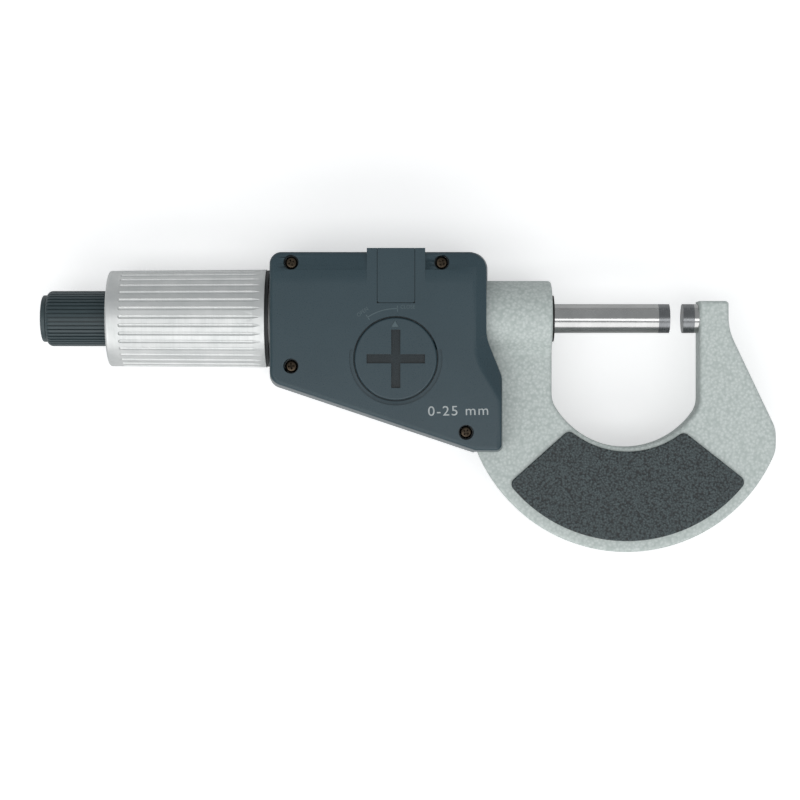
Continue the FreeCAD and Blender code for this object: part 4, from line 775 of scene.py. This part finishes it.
batteryCentre = at(*rearMarks["battery"], rearMarks["face"])
markMiddle = rearMarks["thick"] / 2 - rearMarks["sunk"]
lockArc = arcStrip("lockArc", batteryCentre, rearMarks["arcRadius"], rearMarks["arcWidth"],
                   rearMarks["arcFrom"], rearMarks["arcTo"], markMiddle, rearMarks["thick"])
ticks = []
for angle in (rearMarks["arcFrom"], rearMarks["arcTo"]):
    turn = math.radians(angle)
    clearSelection()
    bpy.ops.mesh.primitive_cube_add(size=1)
    tick = named("lockTick")
    tick.scale = (mm(rearMarks["tick"]), mm(rearMarks["arcWidth"]), mm(rearMarks["thick"]))
    tick.rotation_euler = (0, 0, turn)
    reach = mm(rearMarks["arcRadius"])
    tick.location = batteryCentre + Vector((math.cos(turn) * reach, math.sin(turn) * reach, mm(markMiddle)))
    setPlace(tick)
    openFaces(tick, lambda centre, normal: normal.z > 0.9)
    bpy.ops.mesh.inset(thickness=mm(rearMarks["tickRim"]))
    closeEdit()
    ticks.append(tick)
finished(joined([lockArc, *ticks], "lockArc"), "mark", "root")

for name, (text, x, y, turned) in rearMarks["words"].items():
    word = lettering(name, text, rearMarks["wordSize"], rearMarks["thick"],
                     at(x, y, rearMarks["face"] + rearMarks["wordLift"]),
                     (0, 0, math.radians(turned)), rearMarks["wordStretch"])
    finished(word, "mark", "root")
rangeWord = lettering("rangeWord", rangeMark["text"], rangeMark["size"], rangeMark["thick"],
                      at(*rangeMark["place"], rearMarks["face"]),
                      (0, 0, math.radians(rangeMark["turn"])), rangeMark["stretch"], rangeMark["spacing"])
finished(rangeWord, "print", "root")

# arrow on the battery cover: a raised rim round a sunk middle
lidMark = {"place": (-63.97, -1.85), "top": 12.45, "radius": 1.0, "thick": 0.04, "sunk": 0.02,
           "round": 0.025, "edge": 0.12, "hollow": 0.03}
lidMarkMiddle = lidMark["top"] + lidMark["thick"] / 2 - lidMark["sunk"]
clearSelection()
bpy.ops.mesh.primitive_cylinder_add(vertices=3, radius=mm(lidMark["radius"]), depth=mm(lidMark["thick"]),
                                    location=at(*lidMark["place"], lidMarkMiddle))
lidArrow = setPlace(named("lidArrow"))
openFaces(lidArrow, lambda centre, normal: normal.z > 0.9)
bpy.ops.mesh.bevel(offset=mm(lidMark["round"]), segments=2, affect="EDGES")
bpy.ops.mesh.inset(thickness=mm(lidMark["edge"]))
bpy.ops.transform.translate(value=(0, 0, -mm(lidMark["hollow"])))
closeEdit()
finished(lidArrow, "mark", "battery_lid")
print("rear marks made")

# display side: lit segments behind the window, and words beside the buttons
displayFigures = {
    "text": "2.950", "left": -59.9, "base": -0.2, "front": -11.1, "thick": 0.03,
    "tall": 7.2, "wide": 3.5, "pitch": 4.75, "lean": 0.09,
    "stroke": 0.62, "gap": 0.12, "levelShare": 0.94,  # gap in strokes, shorter level bars
    "dot": 0.7, "dotBack": 0.13,  # dot moved back, in pitches
}
litSegments = {
    "0": "abcdef", "1": "bc", "2": "abged", "3": "abgcd", "4": "fgbc",
    "5": "afgcd", "6": "afgedc", "7": "abc", "8": "abcdefg", "9": "abcdfg",
}


def makeSegment():
    # a six-sided bar, one length long on its own x
    stroke = mm(displayFigures["stroke"])
    clearSelection()
    bpy.ops.mesh.primitive_circle_add(vertices=4, radius=stroke / 2, fill_type="NGON")
    bar = named("segment")
    half = mm(displayFigures["tall"]) / 4 - stroke * displayFigures["gap"]
    openFaces(bar, lambda centre, normal: True)
    bpy.ops.mesh.bisect(plane_co=(0, 0, 0), plane_no=(1, 0, 0))
    closeEdit()
    for vertex in bar.data.vertices:
        if abs(vertex.co.x) > stroke * 0.3:
            vertex.co.x += math.copysign(half - stroke / 2, vertex.co.x)
    return bar


def segmentPlace(letter):
    wide, tall = displayFigures["wide"], displayFigures["tall"]
    return {
        "a": (wide / 2, tall, 0), "g": (wide / 2, tall / 2, 0), "d": (wide / 2, 0, 0),
        "b": (wide, tall * 0.75, 90), "c": (wide, tall * 0.25, 90),
        "f": (0, tall * 0.75, 90), "e": (0, tall * 0.25, 90),
    }[letter]


def makeFigures():
    # written left to right as seen from the front, so along -x
    segment = makeSegment()
    bars = []
    along = 0.0
    for letter in displayFigures["text"]:
        if letter == ".":
            dotX = mm(along - displayFigures["pitch"] * displayFigures["dotBack"])
            clearSelection()
            bpy.ops.mesh.primitive_circle_add(vertices=12, radius=mm(displayFigures["dot"]) / 2,
                                              fill_type="NGON", location=(dotX, 0, 0))
            bars.append(setPlace(bpy.context.object))
            continue
        for part in litSegments[letter]:
            x, y, turned = segmentPlace(part)
            makeActive(segment)
            bpy.ops.object.duplicate(linked=False)
            bar = bpy.context.object
            bar.rotation_euler = (0, 0, math.radians(turned))
            bar.scale = (displayFigures["levelShare"] if turned == 0 else 1.0, 1, 1)
            bar.location = (mm(along + x), mm(y), 0)
            bars.append(setPlace(bar))
        along += displayFigures["pitch"]
    bpy.data.objects.remove(segment)
    figures = joined(bars, "displayFigures")
    openFaces(figures, lambda centre, normal: True)
    thick = mm(displayFigures["thick"])
    bpy.ops.mesh.extrude_region_move(TRANSFORM_OT_translate={"value": (0, 0, thick)})
    closeEdit()
    outwards(figures)
    for vertex in figures.data.vertices:
        vertex.co.x += vertex.co.y * displayFigures["lean"]
    figures.rotation_euler = (0, math.pi, 0)
    figures.location = at(displayFigures["left"], displayFigures["base"], displayFigures["front"])
    return setPlace(figures)


finished(makeFigures(), "ink", "root")
frontTurn = (0, math.pi, 0)
unitMark = {"text": "mm", "place": (-80.9, 0.5, -11.115), "size": 2.6, "thick": 0.03}
unitWord = lettering("unitWord", unitMark["text"], unitMark["size"], unitMark["thick"], at(*unitMark["place"]),
                     frontTurn)
finished(unitWord, "ink", "root")
buttonWords = {"words": ("mm/in", "ZERO", "OFF/ON"), "first": -80.6, "pitch": 8.6, "y": -4.35, "front": -12.9,
               "size": 1.75, "thick": 0.02}
for number, text in enumerate(buttonWords["words"]):
    wordX = buttonWords["first"] + buttonWords["pitch"] * number
    word = lettering(f"buttonWord_{number + 1}", text, buttonWords["size"], buttonWords["thick"],
                     at(wordX, buttonWords["y"], buttonWords["front"]), frontTurn)
    finished(word, "whitePrint", "root")
print("display side made")
